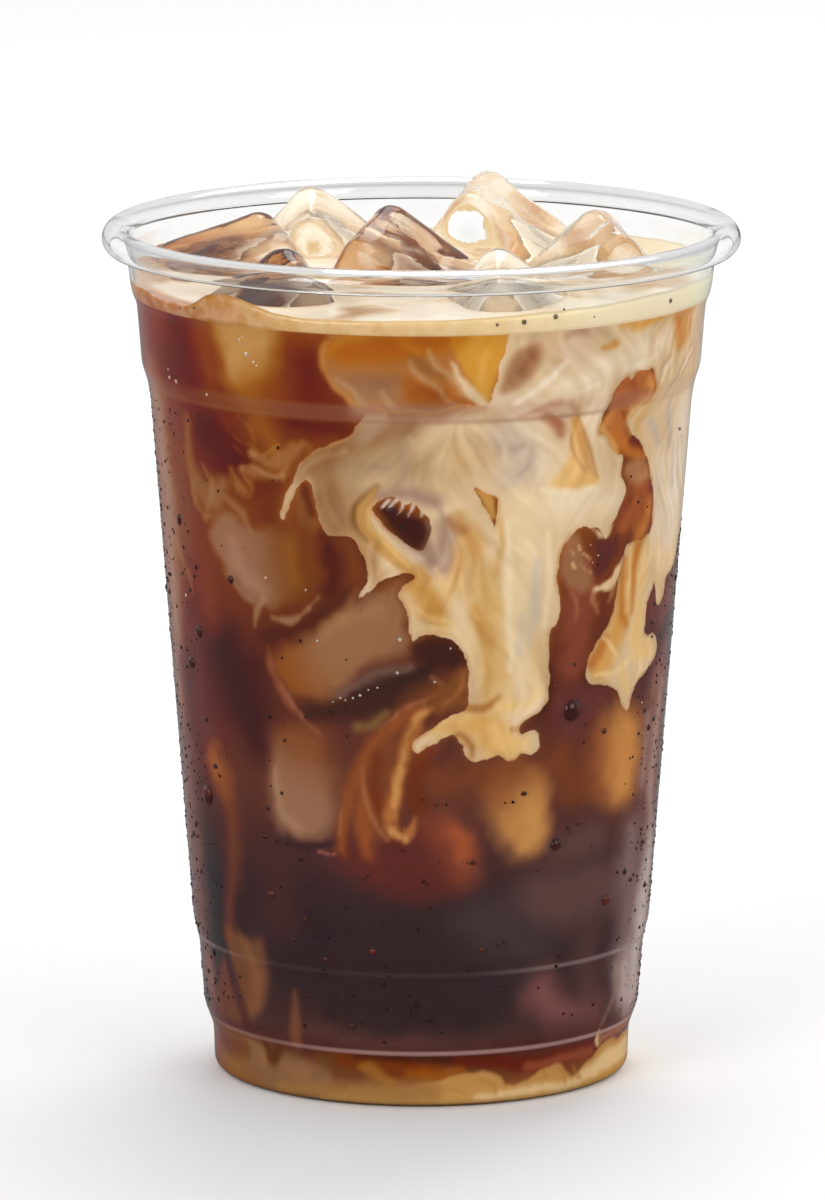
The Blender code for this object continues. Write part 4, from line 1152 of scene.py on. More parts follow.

# %% [markdown]
# The painting reads all those layers at any place of the wall. Soft layers are bent by a broad
# and a small noise, so that no stroke looks drawn. The misty wall in front dims the paint a
# little and adds a veil of reflected light, more so towards the sides, where the lamps also light
# the drink less. So the veil is taken off beforehand, and the paint is lightened towards the
# sides: painted light.

# %% The painting
GOLD_BAND = (196, 142, 78)
PALE_BAND = (238, 218, 186)
# The lilac of the painted light band at the upper step of the wall.
STEP_TINT = (150, 104, 100)
STEP_LINES = [
    ("line under the upper step", 108.1, (140, 96, 76), [(-60, 0.2), (-30, 0.4), (-10, 0.35), (4, 0.3),
     (22, 0.5), (32, 0.1), (60, 0.1)]),
    ("upper line of the foot", 21.5, (158, 140, 140), [(-60, 0.5), (-44, 0.5), (-34, 0.1), (8, 0.12),
     (24, 0.5), (60, 0.85)]),
    ("lower line of the foot", 8.9, (182, 146, 138), [(-60, 0.4), (-30, 0.45), (-10, 0.8), (60, 0.9)]),
    ("lower edge of the cup", 0.3, (58, 40, 32), [(-60, 0.7), (60, 0.7)]),
]
# Painted light: the paint is lightened towards the sides, where the lamps light the drink less, and the
# wall's reflected veil is taken off it.
REFLECTED_VEIL = [(-60, 0.06), (-52, 0.08), (-44, 0.036), (-32, 0.011), (-12, 0.006), (12, 0.006), (31, 0.011),
    (41, 0.026), (46, 0.052), (52, 0.085), (60, 0.065)]
LAMP_AND_WALL_SHARE = [(-60, 0.6), (-52, 0.5), (-44, 0.65), (-32, 0.78), (-12, 0.90), (12, 0.89), (31, 0.81),
    (41, 0.70), (46, 0.62), (52, 0.5), (60, 0.6)]
BOUNCE = 0.25
LEAST_PAINT = 0.3
SIDE_BEND = 11
SIDE_LIFT = 8


def fold_to_front(u, z, p):
    """Where on the front sheet each place reads its paint."""
    share = ease(np.abs(u), SIDE_U - 6, SIDE_U + 7)
    bent = folded_over(u) + share * SIDE_BEND * cloud(p, 30, 201, 2)
    return np.clip(bent, -SIDE_U, SIDE_U), z + share * SIDE_LIFT * cloud(p, 26, 211, 2) * ease(z, 4, 20)


def coffee_tone(z):
    heights, tones = zip(*COFFEE_TONES)
    return np.stack([np.interp(z, heights, [t[k] for t in tones]) for k in range(3)], axis=-1)


def lay_ice(ground, u, z):
    """Painted light through sunk ice, seen through coffee: soft glowing shapes that shade from one colour to
    another.
    """
    for name, first, last, start, end, soft, strength, outline in SUNK_ICE_LIGHT:
        depth = shape_depth(u, z, [outline])
        du, dz = end[0] - start[0], end[1] - start[1]
        along = ((u - start[0]) * du + (z - start[1]) * dz) / (du * du + dz * dz)
        t = ease(along, 0, 1)[..., None]
        tone = np.array(first, float) * (1 - t) + np.array(last, float) * t
        share = (strength * ease(depth, -soft, soft))[..., None]
        ground = ground * (1 - share) + tone * share
    return ground


def lay_step_lines(ground, u, z):
    """Thin lines where the moulded steps of the wall catch the light or the shade."""
    for name, height, rgb, strengths in STEP_LINES:
        places, values = zip(*strengths)
        line = 1 - ease(np.abs(z - height), 0.15, 0.5)
        ground = lay(ground, line * np.interp(u, places, values), rgb)
    return ground


def paint(u, z):
    """Colours under the cream, the cream's depth, its colours, all on places u, z of the wall."""
    p = on_wall(u, z)
    fu, fz = fold_to_front(u, z, p)
    broad_u, broad_z = cloud(p, 9, 11), cloud(p, 9, 31)
    small_u, small_z = cloud(p, 2.4, 21, 2), cloud(p, 2.4, 41, 2)
    su, sz = fu + 0.9 * broad_u + 0.5 * small_u, fz + 0.9 * broad_z + 0.5 * small_z
    cu, cz = fu + 0.2 * broad_u + 0.22 * small_u, fz + 0.2 * broad_z + 0.22 * small_z
    ragged = 0.2 * cloud(p * np.array([1, 1, 0.6]), 1.3, 61, 2)
    hair, band = look_up(hair_lines, fu, fz), look_up(broad_bands, fu, fz)
    patchy = ease(cloud(p, 8, 71, 2), -0.5, 0.6)
    under = coffee_tone(np.clip(fz + 1.5 * broad_z * ease(z, 10, 20), 0, 122))
    under = lay_layers(under, COFFEE_AND_PAINTED_LIGHT, su, sz)
    under = lay_ice(under, su, sz)
    under = lay_layers(under, GLOWS_AND_SHADE, su, sz)
    under = lay_layers(under, WISPS, cu, cz, 1.2 * ragged + 0.08 * hair)
    under = lay_layers(under, AMBER_FOLDS, cu, cz, 0.8 * ragged)
    under = lay_layers(under, STAINS_SHADOW_AND_GLINTS, cu, cz, 0.8 * ragged)
    cream = cream_depth(cu, cz)
    # Painted shade just outside the cream's edge, in patches, and elsewhere a painted amber glow where light
    # from the cream comes through the coffee.
    beside = np.exp(np.minimum(cream, 0) / 0.7) * ease(fz, 50, 62) * (1 - ease(fz, 104, 107))
    beside = beside * (1 - 0.7 * ease(fu, 25, 29))
    under = lay(under, 0.55 * beside * patchy, (70, 30, 12))
    under = lay(under, 0.4 * beside * (1 - patchy), (168, 102, 48))
    tones = lay_layers(np.ones(u.shape + (3,)) * CREAM_TONE, CREAM_LAYERS, cu, cz)
    tones = lay(tones, 0.22 * ease(band, 0.5, 2.0) * patchy, GOLD_BAND)
    tones = lay(tones, 0.30 * ease(-band, 0.5, 2.0), PALE_BAND)
    tones = lay_layers(tones, GOLD_STREAK, cu, cz)
    grainy = 0.044 * hair * (0.4 + 0.6 * patchy) + 0.02 * cloud(p, 5, 91, 2)
    tones = tones * (1 + grainy[..., None] * np.array([0.8, 1.0, 1.3]))
    under = under * (1 + (0.03 * hair * ease(cream, -6, 0) + 0.03 * broad_u)[..., None])
    under = lay_layers(under, FOOT_LAYERS, cu, cz, 0.8 * ragged)
    # A painted lilac band of light where the upper step of the wall bends and reflects it, on the coffee and
    # at half strength on the cream.
    step_band = ease(z, 108.0, 108.5) * (1 - ease(z, 110.2, 111.2)) * (0.5 - 0.25 * ease(np.abs(fu), 0, 50))
    under = lay(under, step_band, STEP_TINT)
    tones = lay(tones, 0.5 * step_band, (176, 132, 112))
    under, tones = lay_step_lines(under, fu, z), lay_step_lines(tones, fu, z)
    return np.clip(under, 0, 255), cream + ragged, np.clip(tones, 0, 255)


def behind_wall(rgb, u):
    """The light a colour has to send so that it looks right through the misty wall: the wall's
    reflected veil is taken off, and the paint is lightened where the lamps light the drink less.
    """
    veil = np.interp(folded_over(u), *zip(*REFLECTED_VEIL))[..., None]
    share = np.interp(folded_over(u), *zip(*LAMP_AND_WALL_SHARE))[..., None]
    light = np.maximum(linear(rgb) - veil, LEAST_PAINT * linear(rgb))
    return np.clip(light / (share + BOUNCE * light), 0.001, 0.95)

# %% [markdown]
# ## The ice
#
# Seven cubes float in the drink, at the places of the solids. Each one starts as a fine cube
# whose corners melt by a seeded amount. It is pulled to a box with round edges, its faces sink
# a little in the middle, and a fine noise gives them the dents of melting.

# %% Melted cubes
ICE_CORNER = 4.2
ICE_MELT = 0.5
ICE_CUTS = 19
FACE_SINK = 0.45
ICE_CUBES = {
    "ice_cube_left": ((-28.6, 4.5, 120.6), (21, 17, 18), (12, -17, 12)),
    "ice_cube_back_left": ((-15.8, 25.2, 120.4), (19, 17, 19), (22, 36, 14)),
    "ice_cube_middle": ((-3.8, -1.5, 121.0), (20, 17, 19), (18, 32, -16)),
    "ice_cube_back_right": ((10.8, 23.6, 122.4), (21, 18, 20), (14, 38, -8)),
    "ice_cube_right": ((28.4, 3.4, 120.6), (17.5, 18, 19), (16, -42, 8)),
    "ice_cube_front_right": ((12.2, -24.5, 119.3), (18, 17, 18), (22, 36, 16)),
    "ice_cube_front_left": ((-20.8, -21.4, 119.0), (18, 17, 18), (20, -34, 10)),
}


def melted_corners(name, size):
    """The eight corners of the solid's box, moved as in the solid."""
    bm = bmesh.new()
    bmesh.ops.create_cube(bm, size=1.0)
    wobble = random.Random(name)
    corners = {}
    for vert in bm.verts:
        melt = [wobble.uniform(-ICE_MELT, ICE_MELT) for _ in range(3)]
        key = tuple(1 if c > 0 else -1 for c in vert.co)
        corners[key] = np.array([k * s / 2 for k, s in zip(key, size)]) + np.array(melt)
    bm.free()
    return corners


def melted_cube(name, cuts, inset=0.0, dents=True):
    """A mesh of the melted cube in place, smaller by the inset on every side."""
    middle, size, turn = ICE_CUBES[name]
    corners = melted_corners(name, size)
    bm = bmesh.new()
    bmesh.ops.create_cube(bm, size=2.0)
    bmesh.ops.subdivide_edges(bm, edges=bm.edges, cuts=cuts, use_grid_fill=True)
    co = np.array([v.co for v in bm.verts])
    co = np.sin(co * math.pi / 2) * 0.5 + co * 0.5
    half = np.array(size) / 2
    corner = ICE_CORNER * 0.9
    flat = co * half
    core = np.clip(flat, corner - half, half - corner)
    out = flat - core
    length = np.linalg.norm(out, axis=1, keepdims=True)
    round_box = core + out / np.maximum(length, 1e-9) * corner
    share = (round_box / half + 1) / 2
    place = np.zeros_like(co)
    for key, spot in corners.items():
        weight = np.prod([share[:, k] if key[k] > 0 else 1 - share[:, k] for k in range(3)], axis=0)
        place += weight[:, None] * spot
    normal = out / np.maximum(length, 1e-9)
    sink = FACE_SINK * np.prod(1 - np.clip(np.sort(np.abs(co), axis=1)[:, :2], 0, 1) ** 2, axis=1)
    place -= normal * (sink + inset)[:, None] if dents else normal * (0.6 * FACE_SINK + inset)
    if dents:
        seed = sum(map(ord, name)) % 97
        wave = cloud(place + seed, 5.0, 401, 2) * 0.22 + cloud(place + seed, 1.6, 407, 2) * 0.05
        place += normal * wave[:, None]
    matrix = np.array(Euler([math.radians(a) for a in turn]).to_matrix())
    place = (place @ matrix.T + np.array(middle)) * MM
    for vert, spot in zip(bm.verts, place):
        vert.co = spot
    bmesh.ops.recalc_face_normals(bm, faces=bm.faces)
    return mesh_from(bm, name)


# %% [markdown]
# The ice is glass with the index of ice. It is faintly warm low down, it has brown patches
# painted in the cubes at the front left for the coffee seen through them, and its skin is rough
# in frosty patches.

# %% The ice in the drink
ICE_IOR = 1.31
LOW_TINT = (0.985, 0.98, 0.965, 1.0)
HIGH_TINT = (0.995, 0.995, 0.99, 1.0)
COFFEE_SEEN_IN_ICE = (0.58, 0.28, 0.10, 1.0)
ICE_SHADOW = (0.95, 0.93, 0.90, 1.0)


def clear_ice():
    made, tree, shader = new_material("melting ice")
    shader.inputs["IOR"].default_value = ICE_IOR
    shader.inputs["Transmission Weight"].default_value = 1.0
    place = place_of(tree)
    axes = axes_of(tree, place)
    frost = ramp(tree, noise_of(tree, place, 160.0, 3.0), 0.52, 0.72, 0.01, 0.16, "LINEAR")
    tint = mix_colours(tree, ramp(tree, axes["Z"], 0.114, 0.126, kind="LINEAR"), LOW_TINT, HIGH_TINT)
    patches = ramp(tree, noise_of(tree, place, 75.0), 0.4, 0.54, kind="LINEAR")
    left = ramp(tree, axes["X"], 0.006, -0.004, kind="LINEAR")
    front = ramp(tree, axes["Y"], 0.015, 0.01, kind="LINEAR")
    # Painted coffee seen through the cubes at the front left.
    coffee_seen_through = maths(tree, "MULTIPLY", maths(tree, "MULTIPLY", left, front), patches)
    tree.links.new(mix_colours(tree, coffee_seen_through, tint, COFFEE_SEEN_IN_ICE), shader.inputs["Base Color"])
    tree.links.new(frost, shader.inputs["Roughness"])
    dent(tree, noise_of(tree, place, 420.0), 0.18, 0.0004)
    let_lamps_through(tree, shader.outputs[0], ICE_SHADOW)
    return made


ice_finish = clear_ice()
for name in ICE_CUBES:
    cube = add_piece("melted_" + name, melted_cube(name, ICE_CUTS), [name])
    cube.data.materials.append(ice_finish)

# %% [markdown]
# ## The coffee
#
# The painted skin of the coffee reaches just into the wall, so that no air shows between them.
# It is a ring-shaped solid with a fine outer face, in an upper and a lower half. The front gets
# most of the columns, because it shows the most detail. Inside it sits the body of the coffee,
# cut out round the ice.

# %% The painted skin
INTO_WALL = 0.15
SKIN = 1.4
LEVEL = 121.6
FRONT_COLUMNS = 400
BACK_COLUMNS = 120
SKIN_ROWS = 184
INNER_ROWS = 8


def inside_path(distance, level):
    """The wall's inner profile from a level down to the middle of the foot, moved by a distance."""
    path = moved_inward(OUTER, distance)
    side = [point for point in path if point[1] <= level and point[0] < 46]
    above = [point for point in path if point[1] > level and point[0] < 46][-1]
    share = (level - side[0][1]) / (above[1] - side[0][1])
    return [(side[0][0] + share * (above[0] - side[0][0]), level)] + side


def evenly(path, count):
    """The path again, with points at equal steps."""
    path = np.array(path)
    along = np.concatenate([[0], np.cumsum(np.linalg.norm(np.diff(path, axis=0), axis=1))])
    at = np.linspace(0, along[-1], count)
    return np.stack([np.interp(at, along, path[:, k]) for k in range(2)], axis=1)


def skin_sections():
    """The closed sections of the skin's upper and lower half, which share one row of points."""
    outer = np.array([point for point in inside_path(WALL - INTO_WALL, LEVEL) if point[0] > 24.0])
    fine = evenly(outer, 2 * SKIN_ROWS - 1)
    halves = []
    for part in (fine[:SKIN_ROWS], fine[SKIN_ROWS - 1:]):
        inner = evenly(part, INNER_ROWS)[::-1].copy()
        inner[:, 0] -= SKIN
        inner[:, 1] = np.maximum(inner[:, 1], SKIN)
        halves.append(np.concatenate([part, inner]))
    return halves


def column_places():
    """u of every column: fine at the front, coarser behind."""
    front = np.linspace(-SIDE_U, SIDE_U, FRONT_COLUMNS, endpoint=False)
    behind = np.linspace(SIDE_U, 3 * SIDE_U, BACK_COLUMNS, endpoint=False)
    return np.concatenate([front, behind])


def ring_mesh(name, section, u):
    """A closed section turned through the columns' places, as a ring of quads."""
    turn = u / SHEET_RADIUS
    r, z = section[:, 0][:, None], section[:, 1][:, None]
    points = np.stack([r * np.sin(turn), -r * np.cos(turn), z + 0 * turn], axis=-1) * MM
    rows, columns = points.shape[:2]
    index = np.arange(rows * columns).reshape(rows, columns)
    right = np.roll(index, -1, axis=1)
    below = np.roll(index, -1, axis=0)
    corner = np.roll(right, -1, axis=0)
    faces = np.stack([index, right, corner, below], axis=-1).reshape(-1, 4)
    mesh = bpy.data.meshes.new(name)
    mesh.from_pydata(points.reshape(-1, 3), [], faces[:, ::-1].tolist())
    mesh.update()
    bm = bmesh.new()
    bm.from_mesh(mesh)
    bmesh.ops.recalc_face_normals(bm, faces=bm.faces)
    bm.to_mesh(mesh)
    bm.free()
    return mesh


def keep_colour(mesh, name, light):
    """A colour on every vertex, given as light from 0 to 1."""
    layer = mesh.color_attributes.new(name, "FLOAT_COLOR", "POINT")
    values = np.ones((len(mesh.vertices), 4), np.float32)
    values[:, :3] = light
    layer.data.foreach_set("color", values.ravel())


def keep_value(mesh, name, value):
    layer = mesh.attributes.new(name, "FLOAT", "POINT")
    layer.data.foreach_set("value", np.asarray(value, np.float32).ravel())


def places_of(mesh):
    co = np.empty(len(mesh.vertices) * 3, np.float32)
    mesh.vertices.foreach_get("co", co)
    return co.reshape(-1, 3).astype(float) / MM


def paint_mesh(mesh):
    """Lays the painting on a mesh near the wall."""
    at = places_of(mesh)
    u = np.arctan2(at[:, 0], -at[:, 1]) * SHEET_RADIUS
    under, cream, tones = paint(u, at[:, 2])
    keep_colour(mesh, "under", behind_wall(under, u))
    keep_colour(mesh, "cream_tone", behind_wall(tones, u))
    keep_value(mesh, "cream", cream)


swirl_pieces = []
for name, section in zip(("coffee_swirl", "coffee_depths"), skin_sections()):
    skin_mesh = ring_mesh(name, section, column_places())
    skin_mesh.set_sharp_from_angle(angle=math.radians(50))
    paint_mesh(skin_mesh)
    swirl_pieces.append(add_piece(name, skin_mesh, ["coffee"]))

# %% [markdown]
# The edge of the cream is a distance in millimetres, so the material can draw it finer than the
# mesh: a thin step from coffee to cream, made ragged by a fine noise, with a narrow golden rim
# where the cream thins out.

# %% The material of the drink
THIN_CREAM = (186, 128, 62)


def swirled_coffee():
    made, tree, shader = new_material("swirled coffee")
    place = place_of(tree)
    edge = add_node(tree, "ShaderNodeAttribute", attribute_name="cream").outputs["Fac"]
    fray = maths(tree, "MULTIPLY", maths(tree, "SUBTRACT", noise_of(tree, place, 1300.0, 3.0), 0.5), 0.5)
    edge = maths(tree, "ADD", edge, fray)
    cream = ramp(tree, edge, -0.08, 0.14)
    rim = maths(tree, "MULTIPLY", ramp(tree, edge, -0.1, 0.1), ramp(tree, edge, 0.1, 0.8, 1.0, 0.0))
    rim = maths(tree, "MULTIPLY", rim, ramp(tree, noise_of(tree, place, 160.0), 0.4, 0.65, 0.05, 0.6))
    gold = shader_colour(THIN_CREAM)
    thick = mix_colours(tree, rim, read_colour(tree, "cream_tone"), gold)
    colour = mix_colours(tree, cream, read_colour(tree, "under"), thick)
    tree.links.new(colour, shader.inputs["Base Color"])
    shader.inputs["Roughness"].default_value = 0.35
    shader.inputs["Specular IOR Level"].default_value = 0.0
    return made


swirl_finish = swirled_coffee()
for piece in swirl_pieces:
    piece.data.materials.append(swirl_finish)

# %% [markdown]
# The body of the coffee fills the skin up to the level. The ice is cut out of it, a hair smaller
# than the cubes, so that the coffee touches the ice all round.

# %% The body of the coffee
BODY_STEPS = 96
POCKET_INSET = 0.12
POCKET_CUTS = 9
POCKET_TONES = ((92, 44, 18), (158, 94, 44), (230, 216, 198), (242, 234, 220), (247, 241, 229))


def ice_cutters():
    found = bpy.data.collections.new("ice cutters")
    scene.collection.children.link(found)
    for name in ICE_CUBES:
        mesh = melted_cube(name, POCKET_CUTS, POCKET_INSET, dents=False)
        cutter = bpy.data.objects.new(name + " cutter", mesh)
        found.objects.link(cutter)
    return found


def cut_out(mesh, cutters):
    """The mesh with the ice cut out of it, as a finished mesh."""
    raw = link_object("uncut", mesh)
    cut = raw.modifiers.new("Ice", "BOOLEAN")
    cut.operation = "DIFFERENCE"
    cut.operand_type = "COLLECTION"
    cut.collection = cutters
    cut.solver = "EXACT"
    bpy.context.view_layer.update()
    graph = bpy.context.evaluated_depsgraph_get()
    finished = bpy.data.meshes.new_from_object(raw.evaluated_get(graph))
    bpy.data.objects.remove(raw)
    return finished


cutters = ice_cutters()
body_path = [(0.0, LEVEL - 0.3)] + inside_path(WALL - INTO_WALL + 0.5 * SKIN, LEVEL - 0.3)
body_mesh = cut_out(spun_mesh("coffee_body", body_path, BODY_STEPS), cutters)
body_mesh.name = "coffee_body"
body = add_piece("coffee_body", body_mesh, ["coffee"])


def mixed_coffee():
    """Coffee in the pockets: pale near the cream, darker below, and paler at the right and behind."""
    made, tree, shader = new_material("mixed coffee")
    place = place_of(tree)
    axes = axes_of(tree, place)
    wave = maths(tree, "MULTIPLY", maths(tree, "SUBTRACT", noise_of(tree, place, 130.0, 4.0), 0.5), 0.022)
    height = maths(tree, "ADD", axes["Z"], wave)
    right, behind = ramp(tree, axes["X"], 0.0, 0.008), ramp(tree, axes["Y"], 0.009, 0.016)
    milky = maths(tree, "MAXIMUM", right, behind)
    dark, amber, tan, beige, pale = (shader_colour(rgb) for rgb in POCKET_TONES)
    dark, amber = mix_colours(tree, milky, dark, tan), mix_colours(tree, milky, amber, beige)
    colour = mix_colours(tree, ramp(tree, height, 0.108, 0.116), dark, amber)
    colour = mix_colours(tree, ramp(tree, height, 0.116, 0.1205), colour, pale)
    tree.links.new(colour, shader.inputs["Base Color"])
    shader.inputs["Roughness"].default_value = 0.4
    return made


body.data.materials.append(mixed_coffee())

# %% [markdown]
# ## The cream layer
#
# The cream stands on the coffee, a couple of millimetres thick. Its top is a fine disc that
# climbs the wall and the ice a little, as any liquid does, and the wet line on the wall rises
# and falls. It is cut round the ice as well.

# %% The top of the drink
CREAM_LOW = 121.3
CREAM_TOP = 123.3
CREAM_RINGS = 64
CREAM_COLUMNS = 288
WET_LINE = [(-60, 124.2), (-46, 123.8), (-40, 123.0), (-35, 123.2), (-31, 125.6), (-28, 126.4),
    (-25, 126.0), (-20, 124.2), (-14, 123.6), (-6, 123.8), (4, 124.2), (14, 124.6), (24, 125.0),
    (34, 125.4), (44, 125.6), (60, 125.2)]


def wet_height(u):
    """The height of the wet line round the wall. Both sides repeat its right half behind."""
    folded = np.where(np.abs(u) > SIDE_U, 2 * SIDE_U - np.abs(u), u)
    return np.interp(folded, *zip(*WET_LINE))


def distance_to_ice(at):
    """Roughly how far places are from the nearest cube, in mm."""
    best = np.full(len(at), 99.0)
    for middle, size, turn in ICE_CUBES.values():
        matrix = np.array(Euler([math.radians(a) for a in turn]).to_matrix())
        local = np.abs((at - np.array(middle)) @ matrix)
        out = local - np.array(size) / 2 + ICE_CORNER
        away = np.linalg.norm(np.maximum(out, 0), axis=1) + np.minimum(out.max(axis=1), 0) - ICE_CORNER
        best = np.minimum(best, away)
    return best


def cream_disc():
    turn = np.linspace(0, 2 * math.pi, CREAM_COLUMNS, endpoint=False)
    u = (turn * SHEET_RADIUS + SIDE_U * 2) % ROUND - SIDE_U * 2
    wet = wet_height(u) + 0.12 * cloud(on_wall(u, 0 * u), 4, 501, 2)
    side = np.array(inside_path(WALL - INTO_WALL, 127.0))
    order = np.argsort(side[:, 1])

    def radius_at(z):
        return np.interp(z, side[order, 1], side[order, 0])

    def ring_at(r, z):
        return np.stack([r * np.sin(turn), -r * np.cos(turn), z + 0 * turn], axis=1)

    share = np.linspace(0, 1, CREAM_RINGS) ** 0.8
    rings = []
    for s in share[1:]:
        r = s * (radius_at(CREAM_TOP) - 0.15)
        at = ring_at(r, CREAM_TOP)
        climb = 0.5 * np.exp(-np.maximum(distance_to_ice(at), 0) / 0.9)
        ripple = 0.14 * cloud(at, 7, 511, 2)
        to_wall = (radius_at(CREAM_TOP) - r)
        film = (wet - CREAM_TOP - 0.5) * np.exp(-to_wall / 0.35) + 0.5 * np.exp(-to_wall / 1.2)
        at[:, 2] += climb + ripple * ease(to_wall, 0, 3) + film
        rings.append(at)
    rings.append(ring_at(radius_at(wet), wet))
    for z in np.linspace(0.75, 0, 4):
        level = CREAM_LOW + z * (wet - CREAM_LOW)
        rings.append(ring_at(radius_at(level), level))
    bm = bmesh.new()
    rows = [[bm.verts.new(spot * MM) for spot in ring] for ring in rings]
    top = bm.verts.new((0, 0, CREAM_TOP * MM))
    bottom = bm.verts.new((0, 0, CREAM_LOW * MM))
    for k in range(CREAM_COLUMNS):
        n = (k + 1) % CREAM_COLUMNS
        bm.faces.new((top, rows[0][k], rows[0][n]))
        bm.faces.new((bottom, rows[-1][n], rows[-1][k]))
        for a, b in zip(rows, rows[1:]):
            bm.faces.new((a[k], b[k], b[n], a[n]))
    bmesh.ops.recalc_face_normals(bm, faces=bm.faces)
    return mesh_from(bm, "cream_top")


cream_mesh = cut_out(cream_disc(), cutters)
cream_mesh.name = "cream_top"
for cutter in list(cutters.objects):
    bpy.data.objects.remove(cutter)
bpy.data.collections.remove(cutters)

# %% [markdown]
# Seen from above, the cream is pale with tan and amber swirls where coffee comes through. On the
# wall it is a pale band, darker and more golden at the left.

# %% The colours of the cream layer
BAND_TONES = [(-60, (190, 150, 100)), (-45, (156, 96, 34)), (-36, (152, 90, 24)), (-28, (178, 118, 54)),
    (-18, (200, 152, 86)), (-6, (208, 166, 104)), (10, (224, 190, 134)), (24, (240, 220, 176)),
    (60, (246, 232, 204))]
TOP_TONE = (244, 230, 206)
SWIRL_TONE = (206, 164, 112)
SWIRL_HEART = (168, 108, 54)
ICE_RIM_TONE = (196, 152, 104)
FOAM_TONE = (244, 228, 200)


def paint_cream(mesh):
    at = places_of(mesh)
    r = np.hypot(at[:, 0], at[:, 1])
    u = np.arctan2(at[:, 0], -at[:, 1]) * SHEET_RADIUS
    places, tones = zip(*BAND_TONES)
    band = np.stack([np.interp(folded_over(u), places, [t[k] for t in tones]) for k in range(3)], axis=-1)
    warp = np.stack([cloud(at, 16, 521, 2), cloud(at, 16, 531, 2), 0 * r], axis=-1) * 7
    swirl = cloud(at + warp, 13, 541, 3)
    top = np.ones((len(at), 3)) * TOP_TONE
    top = lay(top, 0.75 * ease(swirl, 0.15, 0.7), SWIRL_TONE)
    top = lay(top, 0.6 * ease(swirl, 0.6, 1.0), SWIRL_HEART)
    near_ice = np.exp(-np.maximum(distance_to_ice(at), 0) / 1.2)
    top = lay(top, 0.3 * near_ice, ICE_RIM_TONE)
    by_wall = ease(r, 40.5, 43)[:, None]
    colour = np.clip(top + (band - top) * by_wall, 0, 255)
    light = linear(colour) * (1 - by_wall) + behind_wall(colour, u) * by_wall
    keep_colour(mesh, "cream_colour", light)


paint_cream(cream_mesh)
cream_top = add_piece("cream_top", cream_mesh, ["cream_layer"])


def wet_cream():
    made, tree, shader = new_material("wet cream")
    place = place_of(tree)
    grain = noise_of(tree, place, 520.0, 4.0)
    froth = ramp(tree, grain, 0.35, 0.65, 0.0, 0.16)
    colour = mix_colours(tree, froth, read_colour(tree, "cream_colour"), shader_colour(FOAM_TONE))
    tree.links.new(colour, shader.inputs["Base Color"])
    shader.inputs["Roughness"].default_value = 0.22
    dent(tree, grain, 0.15, 0.0003)
    return made


cream_top.data.materials.append(wet_cream())

# %% [markdown]
# ## Condensation
#
# The wall is wet below its upper step. There is a fine mist of droplets all round, thickest
# at the sides, and a few larger drops, which are placed where the photograph shows them. Each
# droplet is a small dome that sits in the wall by a hair. All droplets of a kind are one mesh.

# %% Drops on the wall
MIST_COUNT = 3600
BEAD_COUNT = 170
MIST_BAND = (10.5, 107.0)
# The drops are painted the colour of the dark coffee seen through them.
DARK_DROPS = ((30, 12, 9), (66, 34, 28))
RED_DROPS = ((48, 14, 9), (88, 34, 24))
LARGE_DROPS = [(24.5, 61.8, 1.55, 1.1), (-41.2, 45.9, 1.35, 1.25), (22.6, 40.9, 1.0, 1.0),
    (34.7, 30.5, 0.9, 1.0), (-43.4, 66.4, 1.0, 0.9), (-40, 71.8, 0.85, 1.2), (-39.8, 58.1, 0.5, 0.9),
    (-38, 51, 0.55, 0.8), (-26.2, 32.6, 0.65, 1.0), (-8, 25.2, 0.55, 0.9), (-16.2, 23.4, 0.5, 0.8),
    (-27, 41.7, 0.55, 0.8), (-26, 46.3, 0.5, 0.9), (43, 72.8, 0.7, 0.6), (31.4, 57.6, 0.5, 0.9),
    (42.6, 59, 0.5, 0.8), (16.4, 49.6, 0.45, 0.8), (27, 43.8, 0.45, 1.0), (46, 37.6, 0.6, 0.7),
    (42, 32.4, 0.5, 0.7), (49, 30.2, 0.6, 0.7), (-47, 38.4, 0.6, 0.7), (-46.6, 32.8, 0.5, 0.7),
    (-31, 81.4, 0.6, 1.1), (-42, 78, 0.5, 0.8), (-39.6, 82, 0.45, 0.9), (10, 25.4, 0.4, 1.0),
    (8.2, 39.3, 0.4, 1.0), (-22, 26, 0.4, 0.9), (-19.8, 29.5, 0.4, 0.9), (20.8, 66, 0.35, 1.0),
    (-44, 88.6, 0.6, 1.6)]


def outer_radius(z):
    return np.interp(z, SIDE_Z, SIDE_R)


def dome(around, rings):
    """A unit dome: points as (across, up, out), and its triangles."""
    points = []
    for k in range(rings):
        lift = math.pi / 2 * k / rings
        for a in range(around):
            turn = 2 * math.pi * (a + 0.5 * (k % 2)) / around
            points.append((math.cos(lift) * math.cos(turn), math.cos(lift) * math.sin(turn), math.sin(lift)))
    points.append((0.0, 0.0, 1.0))
    faces = []
    for k in range(rings - 1):
        for a in range(around):
            i, j = k * around + a, k * around + (a + 1) % around
            faces += [(i, j, i + around), (j, j + around, i + around)]
    last = (rings - 1) * around
    faces += [(last + a, last + (a + 1) % around, len(points) - 1) for a in range(around)]
    return np.array(points), np.array(faces)


